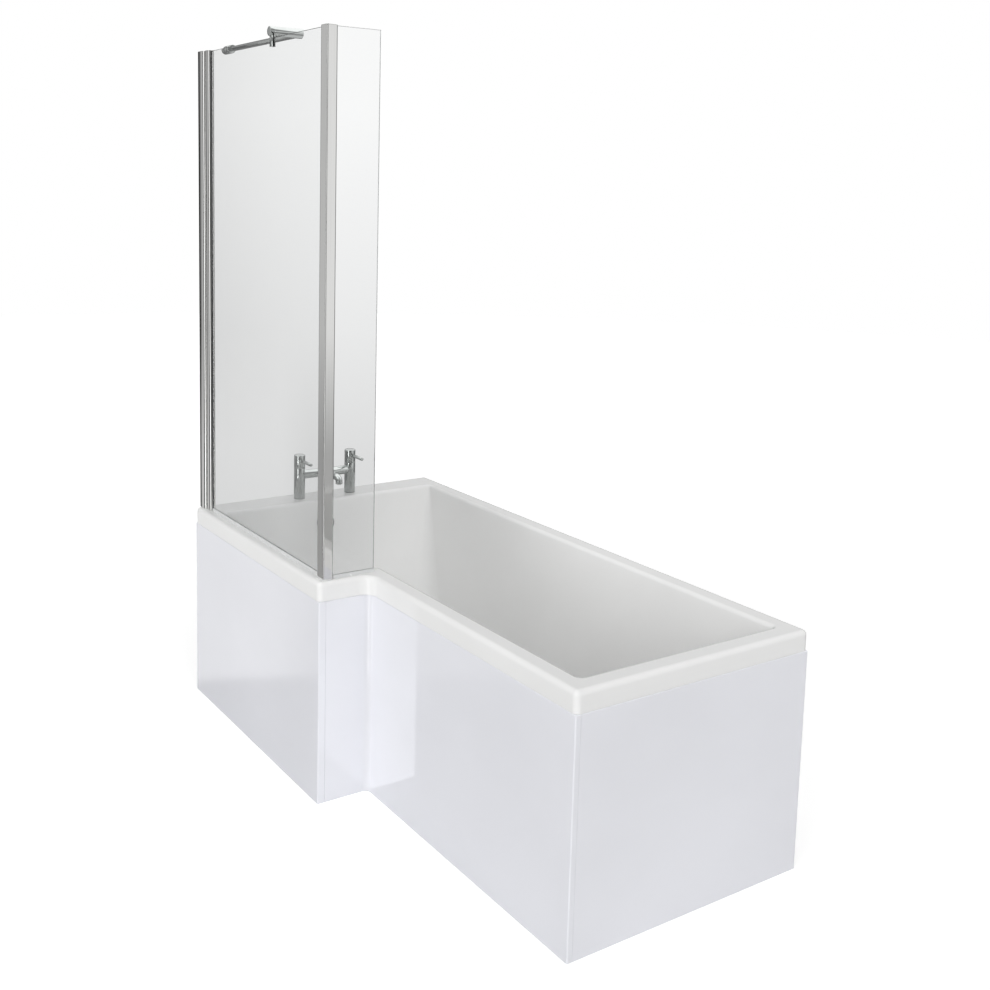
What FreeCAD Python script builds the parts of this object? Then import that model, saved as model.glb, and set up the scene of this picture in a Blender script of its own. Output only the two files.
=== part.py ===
"""L-shaped shower bath with panels, fixed screen, bath filler tap and click waste.

Millimetres, +Z up. The origin is on the floor, under the middle of the bath.
+X runs to the narrow foot end, -Y is the open front, and the taps stand at -X.
"""
import FreeCAD, Part
import math
import os
import re
import Sketcher
from FreeCAD import Placement, Rotation, Vector

SIZES = [
    # Bath shell
    ("bath_length", 1700, "overall length"),
    ("bath_width", 850, "width of the shower end"),
    ("step_depth", 150, "how far the shower end stands out past the foot end"),
    ("wide_length", 847, "length of the wide shower end"),
    ("bath_height", 600, "floor to rim"),
    ("rim_depth", 50, "height of the rim's skirt"),
    ("rim_width", 55, "rim between skirt and tub"),
    ("tap_deck", 110, "rim at the tap end"),
    ("rim_round", 12, "rounding of the rim's outer top edge"),
    ("lip_round", 12, "rounding from the rim into the tub"),
    ("outer_corner", 14, "rim's outer corners in plan"),
    ("step_corner", 36, "rim's inward corner at the step, in plan"),
    ("tub_corner", 10, "tub corners at the rim, in plan"),
    ("tub_step_corner", 24, "tub's corner at the step, in plan"),
    ("floor_corner", 62, "tub corners at the floor, in plan"),
    ("floor_round", 40, "rounding from the walls into the floor"),
    ("shell_wall", 6, "acrylic with its glass-fibre backing"),
    ("tub_floor", 190, "tub floor above the bathroom floor"),
    ("tap_end_lean", 60, "tap-end wall, top to bottom"),
    ("foot_end_lean", 130, "sloping back rest, top to bottom"),
    ("side_lean", 20, "side walls, top to bottom"),
    # Board, rails and legs
    ("board_thick", 18, "board bonded under the tub floor"),
    ("rail_width", 40, "leg rail across its channel"),
    ("rail_height", 25, "leg rail depth"),
    ("rail_wall", 2, "leg rail steel"),
    ("rail_overhang", 22, "rail past its leg"),
    ("foot_rail_inset", 125, "foot-end rail in from the board's end"),
    ("tap_rail_inset", 101, "tap-end rail in from the board's end"),
    ("leg_inset", 25, "leg in from the tub's floor line"),
    ("stud_radius", 5, "M10 leg stud"),
    ("nut_radius", 9.8, "nut across corners, halved"),
    ("nut_height", 8, "nut height"),
    ("foot_radius", 24, "foot pad"),
    ("foot_height", 9, "foot pad height"),
    ("foot_boss_radius", 11, "socket on the foot"),
    ("foot_boss_height", 22, "socket height above the pad"),
    ("foot_floor", 5, "pad under the stud"),
    ("screw_radius", 2, "small screws"),
    ("screw_head_radius", 4, "small screw heads"),
    ("screw_head_height", 2.4, "small screw heads"),
    ("rail_screw_length", 14, "screw in the board"),
    ("rail_screw_spacing", 160, "between a rail's two screws"),
    # Panels
    ("panel_wall", 5, "panel sheet"),
    ("panel_recess", 0.5, "panel face behind the rim's face"),
    ("panel_gap", 0.5, "between panels, and under the rim"),
    ("panel_flange", 24, "fold at the panel's top, with its sheet"),
    ("panel_outer_corner", 3, "panel's outward corner at the step"),
    ("panel_inner_corner", 18, "panel's inward corner at the step"),
    ("panel_end_corner", 3, "panel's corner at the foot end"),
    ("panel_back_corner", 1, "inside of the panel's outward corners"),
    ("panel_return", 14, "front panel round the foot-end corner"),
    ("panel_edge_round", 2.5, "panel's top edge"),
    ("batten_width", 24, "floor batten behind the panels"),
    ("batten_height", 38, "floor batten"),
    ("batten_stop", 40, "batten short of its panel's ends"),
    ("clip_width", 26, "panel clip along the rim"),
    ("clip_wall", 1.5, "panel clip steel"),
    ("clip_height", 32, "panel clip up the skirt"),
    ("clip_inset", 180, "panel clip from the end of its side"),
    # Screen
    ("screen_height", 1400, "rim to the top of the screen"),
    ("screen_inset", 17, "post face in from the rim's front"),
    ("screen_side_inset", 11, "post face in from the step"),
    ("post_width", 35, "corner post along the bath"),
    ("post_depth", 28, "corner post across the bath"),
    ("post_corner", 2.5, "corner post edges"),
    ("post_foot_height", 4, "plastic foot under the post"),
    ("cap_height", 2, "caps on the post and profiles"),
    ("glass_thick", 6, "toughened glass"),
    ("glass_lift", 8, "glass above the rim"),
    ("groove_width", 8.4, "groove that holds a glass edge"),
    ("groove_depth", 11, "groove that holds a glass edge"),
    ("gasket_lip", 2.2, "gasket showing past its groove"),
    ("return_reach", 153, "post's front face to the free glass edge"),
    ("return_inset", 9, "middle of the return glass in from the post's side face"),
    ("channel_length", 40, "wall channel out from the wall"),
    ("channel_width", 34, "wall channel across"),
    ("channel_corner", 7, "wall channel's rounded edges"),
    ("channel_back", 3, "wall channel against the wall"),
    ("channel_bore", 19, "wall channel's opening"),
    ("channel_screw_radius", 2.5, "screw holes to the wall"),
    ("channel_screw_end", 90, "end screw holes from the ends"),
    ("tongue_play", 0.2, "profile's tongue to the channel, each side"),
    ("tongue_gap", 2, "profile's tongue to the channel's back"),
    ("profile_length", 30, "glass profile past the channel"),
    ("profile_width", 24, "glass profile across"),
    ("profile_corner", 7, "glass profile's rounded edges"),
    ("profile_back_corner", 2, "glass profile's edges at the channel"),
    ("seal_wall", 1.6, "clear seal under the glass"),
    ("seal_height", 10, "clear seal up the glass"),
    # Support bar
    ("bar_radius", 8, "support rod"),
    ("bar_offset", 76, "rod behind the glass"),
    ("bar_rise", 13, "rod above the glass"),
    ("knuckle_radius", 13, "wall bracket and glass clamp"),
    ("bracket_length", 34, "wall bracket out from the wall"),
    ("fork_depth", 20, "fork in the wall bracket"),
    ("fork_width", 9, "fork in the wall bracket"),
    ("fork_play", 0.5, "rod end in the fork, each side"),
    ("pin_radius", 3, "pin through the fork"),
    ("collar_length", 14, "rod end's collar"),
    ("clamp_place", 496, "clamp's middle from the end wall"),
    ("clamp_front", 9, "clamp in front of the glass"),
    ("clamp_back", 12, "clamp past the rod"),
    ("clamp_rise", 16, "clamp's middle above the glass"),
    ("clamp_pin_radius", 9.5, "clamp's slotted pin over the glass"),
    ("clamp_pin_drop", 24, "slotted pin below the glass's edge"),
    ("clamp_pad", 1, "soft pads on the glass"),
    ("grub_radius", 3, "grub screw in the clamp"),
    # Tap
    ("tap_inset", 58, "tap pillars from the end wall"),
    ("tap_pitch", 180, "between the pillars"),
    ("pillar_radius", 17.8, "tap pillar"),
    ("pillar_height", 101, "deck to the handle"),
    ("tap_washer", 1, "washer under the pillar"),
    ("handle_height", 42, "turning handle"),
    ("handle_gap", 0.5, "handle above the pillar"),
    ("handle_edge", 1.5, "handle's top edge"),
    ("lever_radius", 5.2, "lever pin"),
    ("lever_reach", 84, "lever tip from the handle's axis"),
    ("lever_drop", 17, "lever below the handle's top"),
    ("lever_seat", 8, "lever into the handle"),
    ("bridge_radius", 14, "bridge between the pillars"),
    ("bridge_rise", 77, "bridge above the deck"),
    ("spout_radius", 11, "spout"),
    ("spout_wall", 2, "spout's tube"),
    ("spout_reach", 94, "outlet from the bridge's middle"),
    ("spout_bend", 14, "spout's bend"),
    ("spout_drop", 19, "outlet below the spout's middle"),
    ("aerator_radius", 8.4, "aerator in the outlet"),
    ("aerator_height", 8, "aerator"),
    ("aerator_show", 2, "aerator below the spout"),
    ("aerator_hole", 5.5, "aerator's mouth"),
    ("cartridge_radius", 11, "valve cartridge"),
    ("cartridge_height", 42, "valve cartridge"),
    ("spindle_radius", 4, "valve spindle"),
    ("spindle_play", 0.05, "spindle in its cartridge"),
    ("spindle_depth", 30, "spindle in its cartridge"),
    ("spindle_show", 20, "spindle in the handle"),
    ("waterway_radius", 7, "waterway in pillars and tails"),
    ("tail_radius", 13.4, "tail through the deck and its nut"),
    ("tail_length", 60, "tail below the deck"),
    ("inlet_radius", 13.2, "three-quarter inch end for the supply pipe"),
    ("inlet_length", 35, "end for the supply pipe"),
    ("tap_hole_radius", 14.5, "hole in the deck"),
    ("backnut_radius", 20, "backnut across corners, halved"),
    ("backnut_height", 8, "backnut"),
    ("fit_gap", 0.1, "pieces screwed or glued together"),
    # Waste, plug and overflow
    ("waste_place", 90, "waste from the tub floor's tap end"),
    ("waste_offset", 31, "waste and overflow in front of the bath's middle line"),
    ("waste_radius", 35, "waste flange"),
    ("waste_flange", 3, "waste flange"),
    ("waste_tube_radius", 24, "waste tube"),
    ("waste_bore", 20.5, "waste tube's bore"),
    ("waste_tube_length", 42, "waste tube below the tub floor"),
    ("waste_hole_radius", 26, "hole in the tub floor"),
    ("waste_seal", 3, "rubber seals under the shell"),
    ("waste_body_radius", 33, "waste body"),
    ("waste_body_height", 46, "waste body"),
    ("guide_width", 5, "arms that guide the plug's stem"),
    ("guide_height", 12, "arms that guide the plug's stem"),
    ("guide_radius", 8, "hub that guides the plug's stem"),
    ("guide_drop", 16, "hub below the flange"),
    ("plug_radius", 31, "plug"),
    ("plug_height", 4, "plug"),
    ("plug_crown", 2.5, "plug's dome"),
    ("plug_seat", 0.3, "plug above its recess"),
    ("recess_radius", 32, "recess for the plug"),
    ("recess_depth", 2, "recess for the plug"),
    ("stem_radius", 4, "plug's stem"),
    ("stem_play", 0.05, "stem in its guide"),
    ("stem_length", 34, "plug's stem"),
    ("trap_radius", 20, "trap and outlet pipe"),
    ("trap_wall", 2.5, "trap wall"),
    ("trap_span", 72, "across the trap's bend"),
    ("trap_bend", 32, "trap's bends"),
    ("trap_low", 30, "trap's lowest middle line, above the floor"),
    ("trap_out_height", 92, "outlet above the floor"),
    ("trap_out_bend", 24, "outlet's bend"),
    ("trap_out_length", 100, "outlet past the trap"),
    ("overflow_drop", 74, "overflow below the rim"),
    ("overflow_radius", 27, "overflow rose"),
    ("overflow_thick", 8, "overflow rose"),
    ("overflow_slot", 4, "slot in the rose"),
    ("overflow_slot_width", 32, "slot in the rose, across"),
    ("overflow_slot_drop", 12, "slot below the rose's middle"),
    ("overflow_hole_radius", 17, "hole in the tub wall"),
    ("overflow_tube_radius", 15, "tube through the wall"),
    ("elbow_radius", 26, "elbow behind the wall"),
    ("elbow_thick", 30, "elbow behind the wall"),
    ("hose_radius", 11, "overflow hose"),
    ("hose_wall", 2, "overflow hose"),
    ("hose_bend", 76, "overflow hose's bend"),
    ("hose_drop", 44, "hose's upper end below the overflow"),
    ("stub_length", 22, "hose stub on the waste body"),
]

PLACES = [
    # Rim outline
    ("bath_left", "-bath_length / 2"),
    ("bath_right", "bath_length / 2"),
    ("bath_front", "-bath_width / 2"),
    ("bath_back", "bath_width / 2"),
    ("step_front", "bath_front + step_depth"),
    ("step_side", "bath_left + wide_length"),
    ("rim_under", "bath_height - rim_depth"),
    ("deck_under", "bath_height - shell_wall"),
    # Tub outline at the rim and at the floor
    ("top_left", "bath_left + tap_deck"),
    ("top_right", "bath_right - rim_width"),
    ("top_front", "bath_front + rim_width"),
    ("top_back", "bath_back - rim_width"),
    ("top_step_side", "step_side - rim_width"),
    ("top_step_front", "step_front + rim_width"),
    ("low_left", "top_left + tap_end_lean"),
    ("low_right", "top_right - foot_end_lean"),
    ("low_front", "top_front + side_lean"),
    ("low_back", "top_back - side_lean"),
    ("low_step_side", "top_step_side - side_lean"),
    ("low_step_front", "top_step_front + side_lean"),
    ("tub_depth", "bath_height - tub_floor"),
    ("floor_under", "tub_floor - shell_wall"),
    # Board, rails and legs
    ("board_under", "floor_under - board_thick"),
    ("board_left", "waste_x + waste_body_radius + waste_hole_radius"),
    ("board_right", "low_right - floor_round"),
    ("board_front", "low_step_front + floor_round"),
    ("board_back", "low_back - floor_round"),
    ("foot_rail_x", "board_right - foot_rail_inset"),
    ("tap_rail_x", "board_left + tap_rail_inset"),
    ("middle_rail_x", "(foot_rail_x + tap_rail_x) / 2"),
    ("web_under", "board_under - rail_wall"),
    ("leg_back", "low_back - leg_inset"),
    ("leg_front", "low_step_front + leg_inset"),
    ("leg_wide_front", "low_front + leg_inset"),
    ("stud_top", "board_under + nut_height + screw_head_height"),
    ("boss_top", "foot_height + foot_boss_height"),
    # Panels
    ("panel_front", "bath_front + panel_recess"),
    ("panel_side", "step_side - panel_recess"),
    ("panel_long", "step_front + panel_recess"),
    ("panel_end", "bath_right - panel_recess"),
    ("panel_lip", "panel_long + panel_return"),
    ("panel_top", "rim_under - panel_gap"),
    ("panel_fold", "panel_top - panel_wall"),
    ("inner_front", "panel_front + panel_wall"),
    ("inner_side", "panel_side - panel_wall"),
    ("inner_long", "panel_long + panel_wall"),
    ("inner_end", "panel_end - panel_wall"),
    ("fold_front", "panel_front + panel_flange"),
    ("fold_side", "panel_side - panel_flange"),
    ("fold_long", "panel_long + panel_flange"),
    ("fold_end", "panel_end - panel_flange"),
    ("fold_stop", "fold_end - panel_gap"),
    ("inner_inner_corner", "panel_inner_corner + panel_wall"),
    # Screen
    ("screen_top", "bath_height + screen_height"),
    ("post_front", "bath_front + screen_inset"),
    ("post_back", "post_front + post_depth"),
    ("post_right", "step_side - screen_side_inset"),
    ("post_left", "post_right - post_width"),
    ("glass_y", "(post_front + post_back) / 2"),
    ("return_x", "post_right - return_inset"),
    ("groove_front", "glass_y - groove_width / 2"),
    ("groove_back", "glass_y + groove_width / 2"),
    ("groove_left", "return_x - groove_width / 2"),
    ("groove_right", "return_x + groove_width / 2"),
    ("groove_end_x", "post_left + groove_depth"),
    ("groove_end_y", "post_back - groove_depth"),
    ("glass_front", "glass_y - glass_thick / 2"),
    ("glass_back", "glass_y + glass_thick / 2"),
    ("return_left", "return_x - glass_thick / 2"),
    ("return_right", "return_x + glass_thick / 2"),
    ("return_end", "post_front + return_reach"),
    ("post_under", "bath_height + post_foot_height"),
    ("post_top", "screen_top - cap_height"),
    ("glass_under", "bath_height + glass_lift"),
    ("glass_edge", "(groove_width - glass_thick) / 2"),
    ("channel_right", "bath_left + channel_length"),
    ("channel_inner", "bath_left + channel_back"),
    ("channel_front", "glass_y - channel_width / 2"),
    ("channel_rear", "glass_y + channel_width / 2"),
    ("bore_front", "glass_y - channel_bore / 2"),
    ("bore_rear", "glass_y + channel_bore / 2"),
    ("tongue_left", "channel_inner + tongue_gap"),
    ("tongue_front", "bore_front + tongue_play"),
    ("tongue_rear", "bore_rear - tongue_play"),
    ("profile_right", "channel_right + profile_length"),
    ("profile_front", "glass_y - profile_width / 2"),
    ("profile_rear", "glass_y + profile_width / 2"),
    ("profile_groove", "profile_right - groove_depth"),
    ("screen_middle", "(bath_height + post_top) / 2"),
    # Support bar
    ("bar_y", "glass_y + bar_offset"),
    ("bar_z", "post_top + bar_rise"),
    ("bracket_right", "bath_left + bracket_length"),
    ("fork_left", "bracket_right - fork_depth"),
    ("pin_x", "(fork_left + bracket_right) / 2"),
    ("tongue_half", "fork_width / 2 - fork_play"),
    ("collar_right", "bracket_right + fork_play + collar_length"),
    ("clamp_x", "bath_left + clamp_place"),
    ("clamp_z", "post_top + clamp_rise"),
    ("bar_end", "clamp_x + grub_radius * 2"),
    ("clamp_start", "glass_front - clamp_front"),
    ("clamp_end", "bar_y + clamp_back"),
    ("clamp_low", "post_top - clamp_pin_drop"),
    # Tap
    ("tap_x", "bath_left + tap_inset"),
    ("tap_y", "tap_pitch / 2"),
    ("pillar_under", "bath_height + tap_washer"),
    ("pillar_top", "bath_height + pillar_height"),
    ("inlet_low", "bath_height - tail_length"),
    ("inlet_top", "inlet_low + inlet_length"),
    ("backnut_low", "deck_under - backnut_height"),
    ("cartridge_low", "pillar_top - cartridge_height"),
    ("handle_under", "pillar_top + handle_gap"),
    ("handle_top", "handle_under + handle_height"),
    ("lever_z", "handle_top - lever_drop"),
    ("bridge_z", "bath_height + bridge_rise"),
    ("spout_start", "tap_x + bridge_radius + fit_gap"),
    ("spout_end", "tap_x + spout_reach"),
    ("spout_low", "bridge_z - spout_drop"),
    ("spout_bore", "spout_radius - spout_wall"),
    ("spindle_low", "pillar_top - spindle_depth"),
    ("spindle_top", "pillar_top + spindle_show"),
    # Waste, plug and overflow
    ("waste_x", "low_left + waste_place"),
    ("waste_y", "-waste_offset"),
    ("flange_top", "tub_floor + waste_flange"),
    ("tube_low", "tub_floor - waste_tube_length"),
    ("body_top", "floor_under - waste_seal"),
    ("body_low", "body_top - waste_body_height"),
    ("guide_top", "tub_floor - guide_drop"),
    ("guide_low", "guide_top - guide_height"),
    ("plug_under", "flange_top - recess_depth + plug_seat"),
    ("plug_top", "plug_under + plug_height"),
    ("trap_bore", "trap_radius - trap_wall"),
    ("trap_left", "waste_x - trap_span"),
    ("trap_end", "trap_left - trap_out_length"),
    ("wall_lean", "atan(tap_end_lean / tub_depth)"),
    ("end_wall", "shell_wall * (1 + tap_end_lean / tub_depth) * cos(wall_lean)"),
    ("overflow_z", "bath_height - overflow_drop"),
    ("overflow_x", "top_left + tap_end_lean * overflow_drop / tub_depth"),
    ("elbow_middle", "-end_wall - waste_seal - elbow_thick / 2"),
    ("elbow_x", "overflow_x + elbow_middle"),
    ("hose_top", "overflow_z - hose_drop"),
    ("hose_bore", "hose_radius - hose_wall"),
    ("spigot_bore", "hose_bore - hose_wall - fit_gap"),
    ("stub_z", "(body_low + body_top) / 2"),
    ("stub_x", "waste_x - waste_body_radius - stub_length"),
    ("hose_end", "waste_x - waste_body_radius - fit_gap"),
]

SHEET_OF = {name: "sizes." for name, value, note in SIZES}
SHEET_OF.update({name: "places." for name, formula in PLACES})

SIDES = (("hot", "-1"), ("cold", "1"))
SAME_PLACE = 1e-4

AXES = {
    "x": Rotation(Vector(0, 1, 0), 90),
    "y": Rotation(Vector(1, 0, 0), -90),
    "z": Rotation(),
}

doc = FreeCAD.newDocument("shower_bath")
sizes = doc.addObject("Spreadsheet::Sheet", "sizes")
places = doc.addObject("Spreadsheet::Sheet", "places")
nodes = []


# Sheets and expressions

def ex(text):
    """An expression with each size's sheet written in front of its name."""
    return re.sub(r"[a-z_]+", lambda word: SHEET_OF.get(word.group(0), "") + word.group(0), text)


def number(name):
    """The sheet's value for a size; a leading minus turns its sign."""
    sign = -1 if name.startswith("-") else 1
    name = name.lstrip("-")
    sheet = sizes if SHEET_OF[name] == "sizes." else places
    return sign * float(sheet.get(name))


def fill_sheets():
    """Driving sizes as plain numbers, and places worked out from them."""
    for row, (name, value, note) in enumerate(SIZES, 1):
        sizes.set(f"A{row}", note)
        sizes.set(f"B{row}", str(value))
        sizes.setAlias(f"B{row}", name)
    doc.recompute()
    for row, (name, formula) in enumerate(PLACES, 1):
        places.setAlias(f"B{row}", name)
    for row, (name, formula) in enumerate(PLACES, 1):
        local = ex(formula).replace("places.", "")
        places.set(f"B{row}", "=" + local)
    doc.recompute()


def node(thing, label):
    """Names a finished sub-part."""
    thing.Label = label
    nodes.append(thing)
    return thing


# Primitives and booleans

def place(thing, x, y, z):
    for axis, text in zip("xyz", (x, y, z)):
        thing.setExpression(f"Placement.Base.{axis}", ex(text))


def box(name, x, y, z):
    """Box between low and high places along each axis."""
    thing = doc.addObject("Part::Box", name)
    for side, (low, high) in zip(("Length", "Width", "Height"), (x, y, z)):
        thing.setExpression(side, ex(f"({high}) - ({low})"))
    place(thing, x[0], y[0], z[0])
    return thing


def rod(name, axis, radius, start, length):
    """Cylinder from start along an axis."""
    thing = doc.addObject("Part::Cylinder", name)
    thing.Placement = Placement(Vector(), AXES[axis])
    thing.setExpression("Radius", ex(radius))
    thing.setExpression("Height", ex(length))
    place(thing, *start)
    return thing


def hexagon(name, radius, start, height):
    """Six-sided prism standing at start."""
    thing = doc.addObject("Part::Prism", name)
    thing.Polygon = 6
    thing.setExpression("Circumradius", ex(radius))
    thing.setExpression("Height", ex(height))
    place(thing, *start)
    return thing


def wall_rod(name, radius, start, length):
    """Cylinder square to the leaning tap-end wall, from start inside its inner face."""
    thing = doc.addObject("Part::Cylinder", name)
    thing.Placement = Placement(Vector(), AXES["x"])
    thing.setExpression("Placement.Rotation.Angle", ex("90 deg - wall_lean"))
    thing.setExpression("Radius", ex(radius))
    thing.setExpression("Height", ex(length))
    x = f"overflow_x + ({start}) * cos(wall_lean)"
    place(thing, x, "waste_y", f"overflow_z + ({start}) * sin(wall_lean)")
    return thing


def fuse(name, *pieces):
    thing = doc.addObject("Part::MultiFuse", name)
    thing.Shapes = list(pieces)
    return thing


def cut(name, base, *tools):
    thing = doc.addObject("Part::Cut", name)
    thing.Base = base
    thing.Tool = tools[0] if len(tools) == 1 else fuse(name + "_tools", *tools)
    return thing


def common(name, *pieces):
    thing = doc.addObject("Part::MultiCommon", name)
    thing.Shapes = list(pieces)
    return thing


def group(name, *pieces):
    """Like pieces that share one name, each its own solid."""
    thing = doc.addObject("Part::Compound", name)
    thing.Links = list(pieces)
    return thing


def soften(name, base, radius, wanted):
    """Rounds the edges of base that the test picks out."""
    doc.recompute()
    thing = doc.addObject("Part::Fillet", name)
    thing.Base = base
    size = number(radius)
    edges = [index for index, edge in enumerate(base.Shape.Edges, 1) if wanted(edge)]
    thing.Edges = [(index, size, size) for index in edges]
    return thing


def is_ring_at(axis, spot):
    """Test for a round edge square to X or Z at a place."""
    def test(edge):
        box_of = edge.BoundBox
        low, size = (box_of.XMin, box_of.XLength) if axis == "x" else (box_of.ZMin, box_of.ZLength)
        return edge.isClosed() and abs(low - spot) < SAME_PLACE and size < SAME_PLACE
    return test


# Bodies, sketches and features

def new_body(name):
    return doc.addObject("PartDesign::Body", name)


def new_sketch(body, name, plane="XY_Plane", height="0"):
    """Sketch on one of the body's planes, moved along its normal by height."""
    sketch = body.newObject("Sketcher::SketchObject", name)
    origin = [item for item in body.Origin.OriginFeatures if item.Role == plane][0]
    sketch.AttachmentSupport = [(origin, "")]
    sketch.MapMode = "FlatFace"
    sketch.setExpression("AttachmentOffset.Base.z", ex(height))
    return sketch


def circle(sketch, radius, u, v):
    """Circle in a sketch about a place; all three are named sizes or places."""
    centre = Vector(number(u) if u else 0, number(v) if v else 0, 0)
    index = sketch.addGeometry(Part.Circle(centre, Vector(0, 0, 1), number(radius)), False)
    for kind, name, value in (("DistanceX", u, centre.x), ("DistanceY", v, centre.y)):
        if name:
            held = sketch.addConstraint(Sketcher.Constraint(kind, -1, 1, index, 3, value))
            sketch.setExpression(f"Constraints[{held}]", ex(name))
        else:
            axis = -2 if kind == "DistanceX" else -1
            sketch.addConstraint(Sketcher.Constraint("PointOnObject", index, 3, axis))
    held = sketch.addConstraint(Sketcher.Constraint("Radius", index, number(radius)))
    sketch.setExpression(f"Constraints[{held}]", ex(radius))


def outline(sketch, corners, grow=None, closed=True):
    """Outline whose sides lie along the sketch's two axes.

    Each corner is (u, v, round) by the names of places and sizes. A closed outline
    runs anticlockwise, and grow moves its sides outwards by a named size.
    """
    count = len(corners)
    wider = number(grow) if grow else 0
    flat = [(number(u), number(v)) for u, v, size in corners]
    sides = []
    for index in range(count if closed else count - 1):
        u0, v0 = flat[index]
        u1, v1 = flat[(index + 1) % count]
        level = abs(v1 - v0) < abs(u1 - u0)
        way = (1 if u1 > u0 else -1) if level else (1 if v1 > v0 else -1)
        out = -way if level else way
        spot = (v0 if level else u0) + out * wider
        name = corners[index][1 if level else 0]
        text = name if not grow else f"{name} + ({out}) * ({grow})"
        sides.append((level, way, spot, text))

    def meet(index):
        before = sides[(index - 1) % len(sides)]
        after = sides[index % len(sides)]
        level, upright = (before, after) if before[0] else (after, before)
        return Vector(upright[2], level[2], 0)

    points = []
    for index in range(count):
        if closed or 0 < index < count - 1:
            points.append(meet(index))
        else:
            points.append(Vector(flat[index][0], flat[index][1], 0))
    turns = []
    for index in range(count):
        size = corners[index][2]
        if not size:
            turns.append(None)
            continue
        before, after = sides[(index - 1) % len(sides)], sides[index % len(sides)]
        way_in = Vector(before[1], 0, 0) if before[0] else Vector(0, before[1], 0)
        way_out = Vector(after[1], 0, 0) if after[0] else Vector(0, after[1], 0)
        left = way_in.cross(way_out).z > 0
        radius = number(size) + (wider if left else -wider)
        text = size if not grow else f"{size} + ({1 if left else -1}) * ({grow})"
        turns.append((left, radius, text, way_in, way_out))

    lines = []
    for index, side in enumerate(sides):
        start, end = points[index], points[(index + 1) % count]
        if turns[index]:
            start = start + turns[index][4] * turns[index][1]
        after = turns[(index + 1) % count]
        if after:
            end = end - after[3] * after[1]
        lines.append(sketch.addGeometry(Part.LineSegment(start, end), False))
    for line, (level, way, spot, text) in zip(lines, sides):
        sketch.addConstraint(Sketcher.Constraint("Horizontal" if level else "Vertical", line))
        kind = "DistanceY" if level else "DistanceX"
        held = sketch.addConstraint(Sketcher.Constraint(kind, -1, 1, line, 1, spot))
        sketch.setExpression(f"Constraints[{held}]", ex(text))
    for index in range(count):
        if not closed and index in (0, count - 1):
            line, end = (lines[0], 1) if index == 0 else (lines[-1], 2)
            level = sides[0][0] if index == 0 else sides[-1][0]
            kind, name = ("DistanceX", corners[index][0]) if level else ("DistanceY", corners[index][1])
            held = sketch.addConstraint(Sketcher.Constraint(kind, -1, 1, line, end, number(name)))
            sketch.setExpression(f"Constraints[{held}]", ex(name))
            continue
        before, after = lines[index - 1], lines[index % len(lines)]
        if not turns[index]:
            sketch.addConstraint(Sketcher.Constraint("Coincident", before, 2, after, 1))
            continue
        left, radius, text, way_in, way_out = turns[index]
        begin = points[index] - way_in * radius
        finish = points[index] + way_out * radius
        centre = points[index] + (way_out - way_in) * radius
        first, last = (begin, finish) if left else (finish, begin)
        angles = [math.atan2(point.y - centre.y, point.x - centre.x) for point in (first, last)]
        round_of = Part.Circle(centre, Vector(0, 0, 1), radius)
        arc = sketch.addGeometry(Part.ArcOfCircle(round_of, *angles), False)
        sketch.addConstraint(Sketcher.Constraint("Tangent", before, 2, arc, 1 if left else 2))
        sketch.addConstraint(Sketcher.Constraint("Tangent", arc, 2 if left else 1, after, 1))
        held = sketch.addConstraint(Sketcher.Constraint("Radius", arc, radius))
        sketch.setExpression(f"Constraints[{held}]", ex(text))


def pad(body, sketch, length):
    feature = body.newObject("PartDesign::Pad", sketch.Name + "_pad")
    feature.Profile = sketch
    feature.setExpression("Length", ex(length))
    sketch.Visibility = False
    doc.recompute()
    return feature


def pocket_up(body, sketch, length):
    """Pocket that cuts upwards from its sketch."""
    feature = body.newObject("PartDesign::Pocket", sketch.Name + "_pocket")
    feature.Profile = sketch
    feature.Reversed = True
    feature.setExpression("Length", ex(length))
    doc.recompute()
    return feature


def loft(body, kind, upper, lower):
    feature = body.newObject(f"PartDesign::{kind}", upper.Name + "_loft")
    feature.Profile = upper
    feature.Sections = [lower]
    feature.Ruled = True
    doc.recompute()
    return feature


def round_edges(body, base, radius, edges):
    """Fillet on edges of a feature, found by where they lie."""
    names = []
    for index, edge in enumerate(base.Shape.Edges, 1):
        if any(edge.isSame(other) for other in edges):
            names.append(f"Edge{index}")
    feature = body.newObject("PartDesign::Fillet", base.Name + "_round")
    feature.Base = (base, names)
    feature.setExpression("Radius", ex(radius))
    doc.recompute()
    return feature


def level_face(shape, height, up):
    """The largest level face at a height, facing up or down."""
    found = []
    for face in shape.Faces:
        box_of = face.BoundBox
        if box_of.ZLength < SAME_PLACE and abs(box_of.ZMin - height) < SAME_PLACE:
            facing = face.normalAt(*face.Surface.parameter(face.CenterOfMass)).z > 0
            if facing == up:
                found.append(face)
    return max(found, key=lambda face: face.Area)


def tube(name, path, radius, bore, mouth, y="0"):
    """Hollow tube along a route in the XZ plane at y; mouth is the plane and place of its first end."""
    body = new_body(name)
    spine = new_sketch(body, name + "_spine", "XZ_Plane", f"-({y})")
    outline(spine, path, closed=False)
    plane, height, u, v = mouth
    ring = new_sketch(body, name + "_ring", plane, height)
    circle(ring, radius, u, v)
    circle(ring, bore, u, v)
    doc.recompute()
    feature = body.newObject("PartDesign::AdditivePipe", name + "_pipe")
    feature.Profile = ring
    feature.Spine = spine
    doc.recompute()
    return body


# Bath shell, board and legs

RIM_OUTLINE = [
    ("bath_left", "bath_front", "outer_corner"),
    ("step_side", "bath_front", "outer_corner"),
    ("step_side", "step_front", "step_corner"),
    ("bath_right", "step_front", "outer_corner"),
    ("bath_right", "bath_back", "outer_corner"),
    ("bath_left", "bath_back", "outer_corner"),
]


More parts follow.
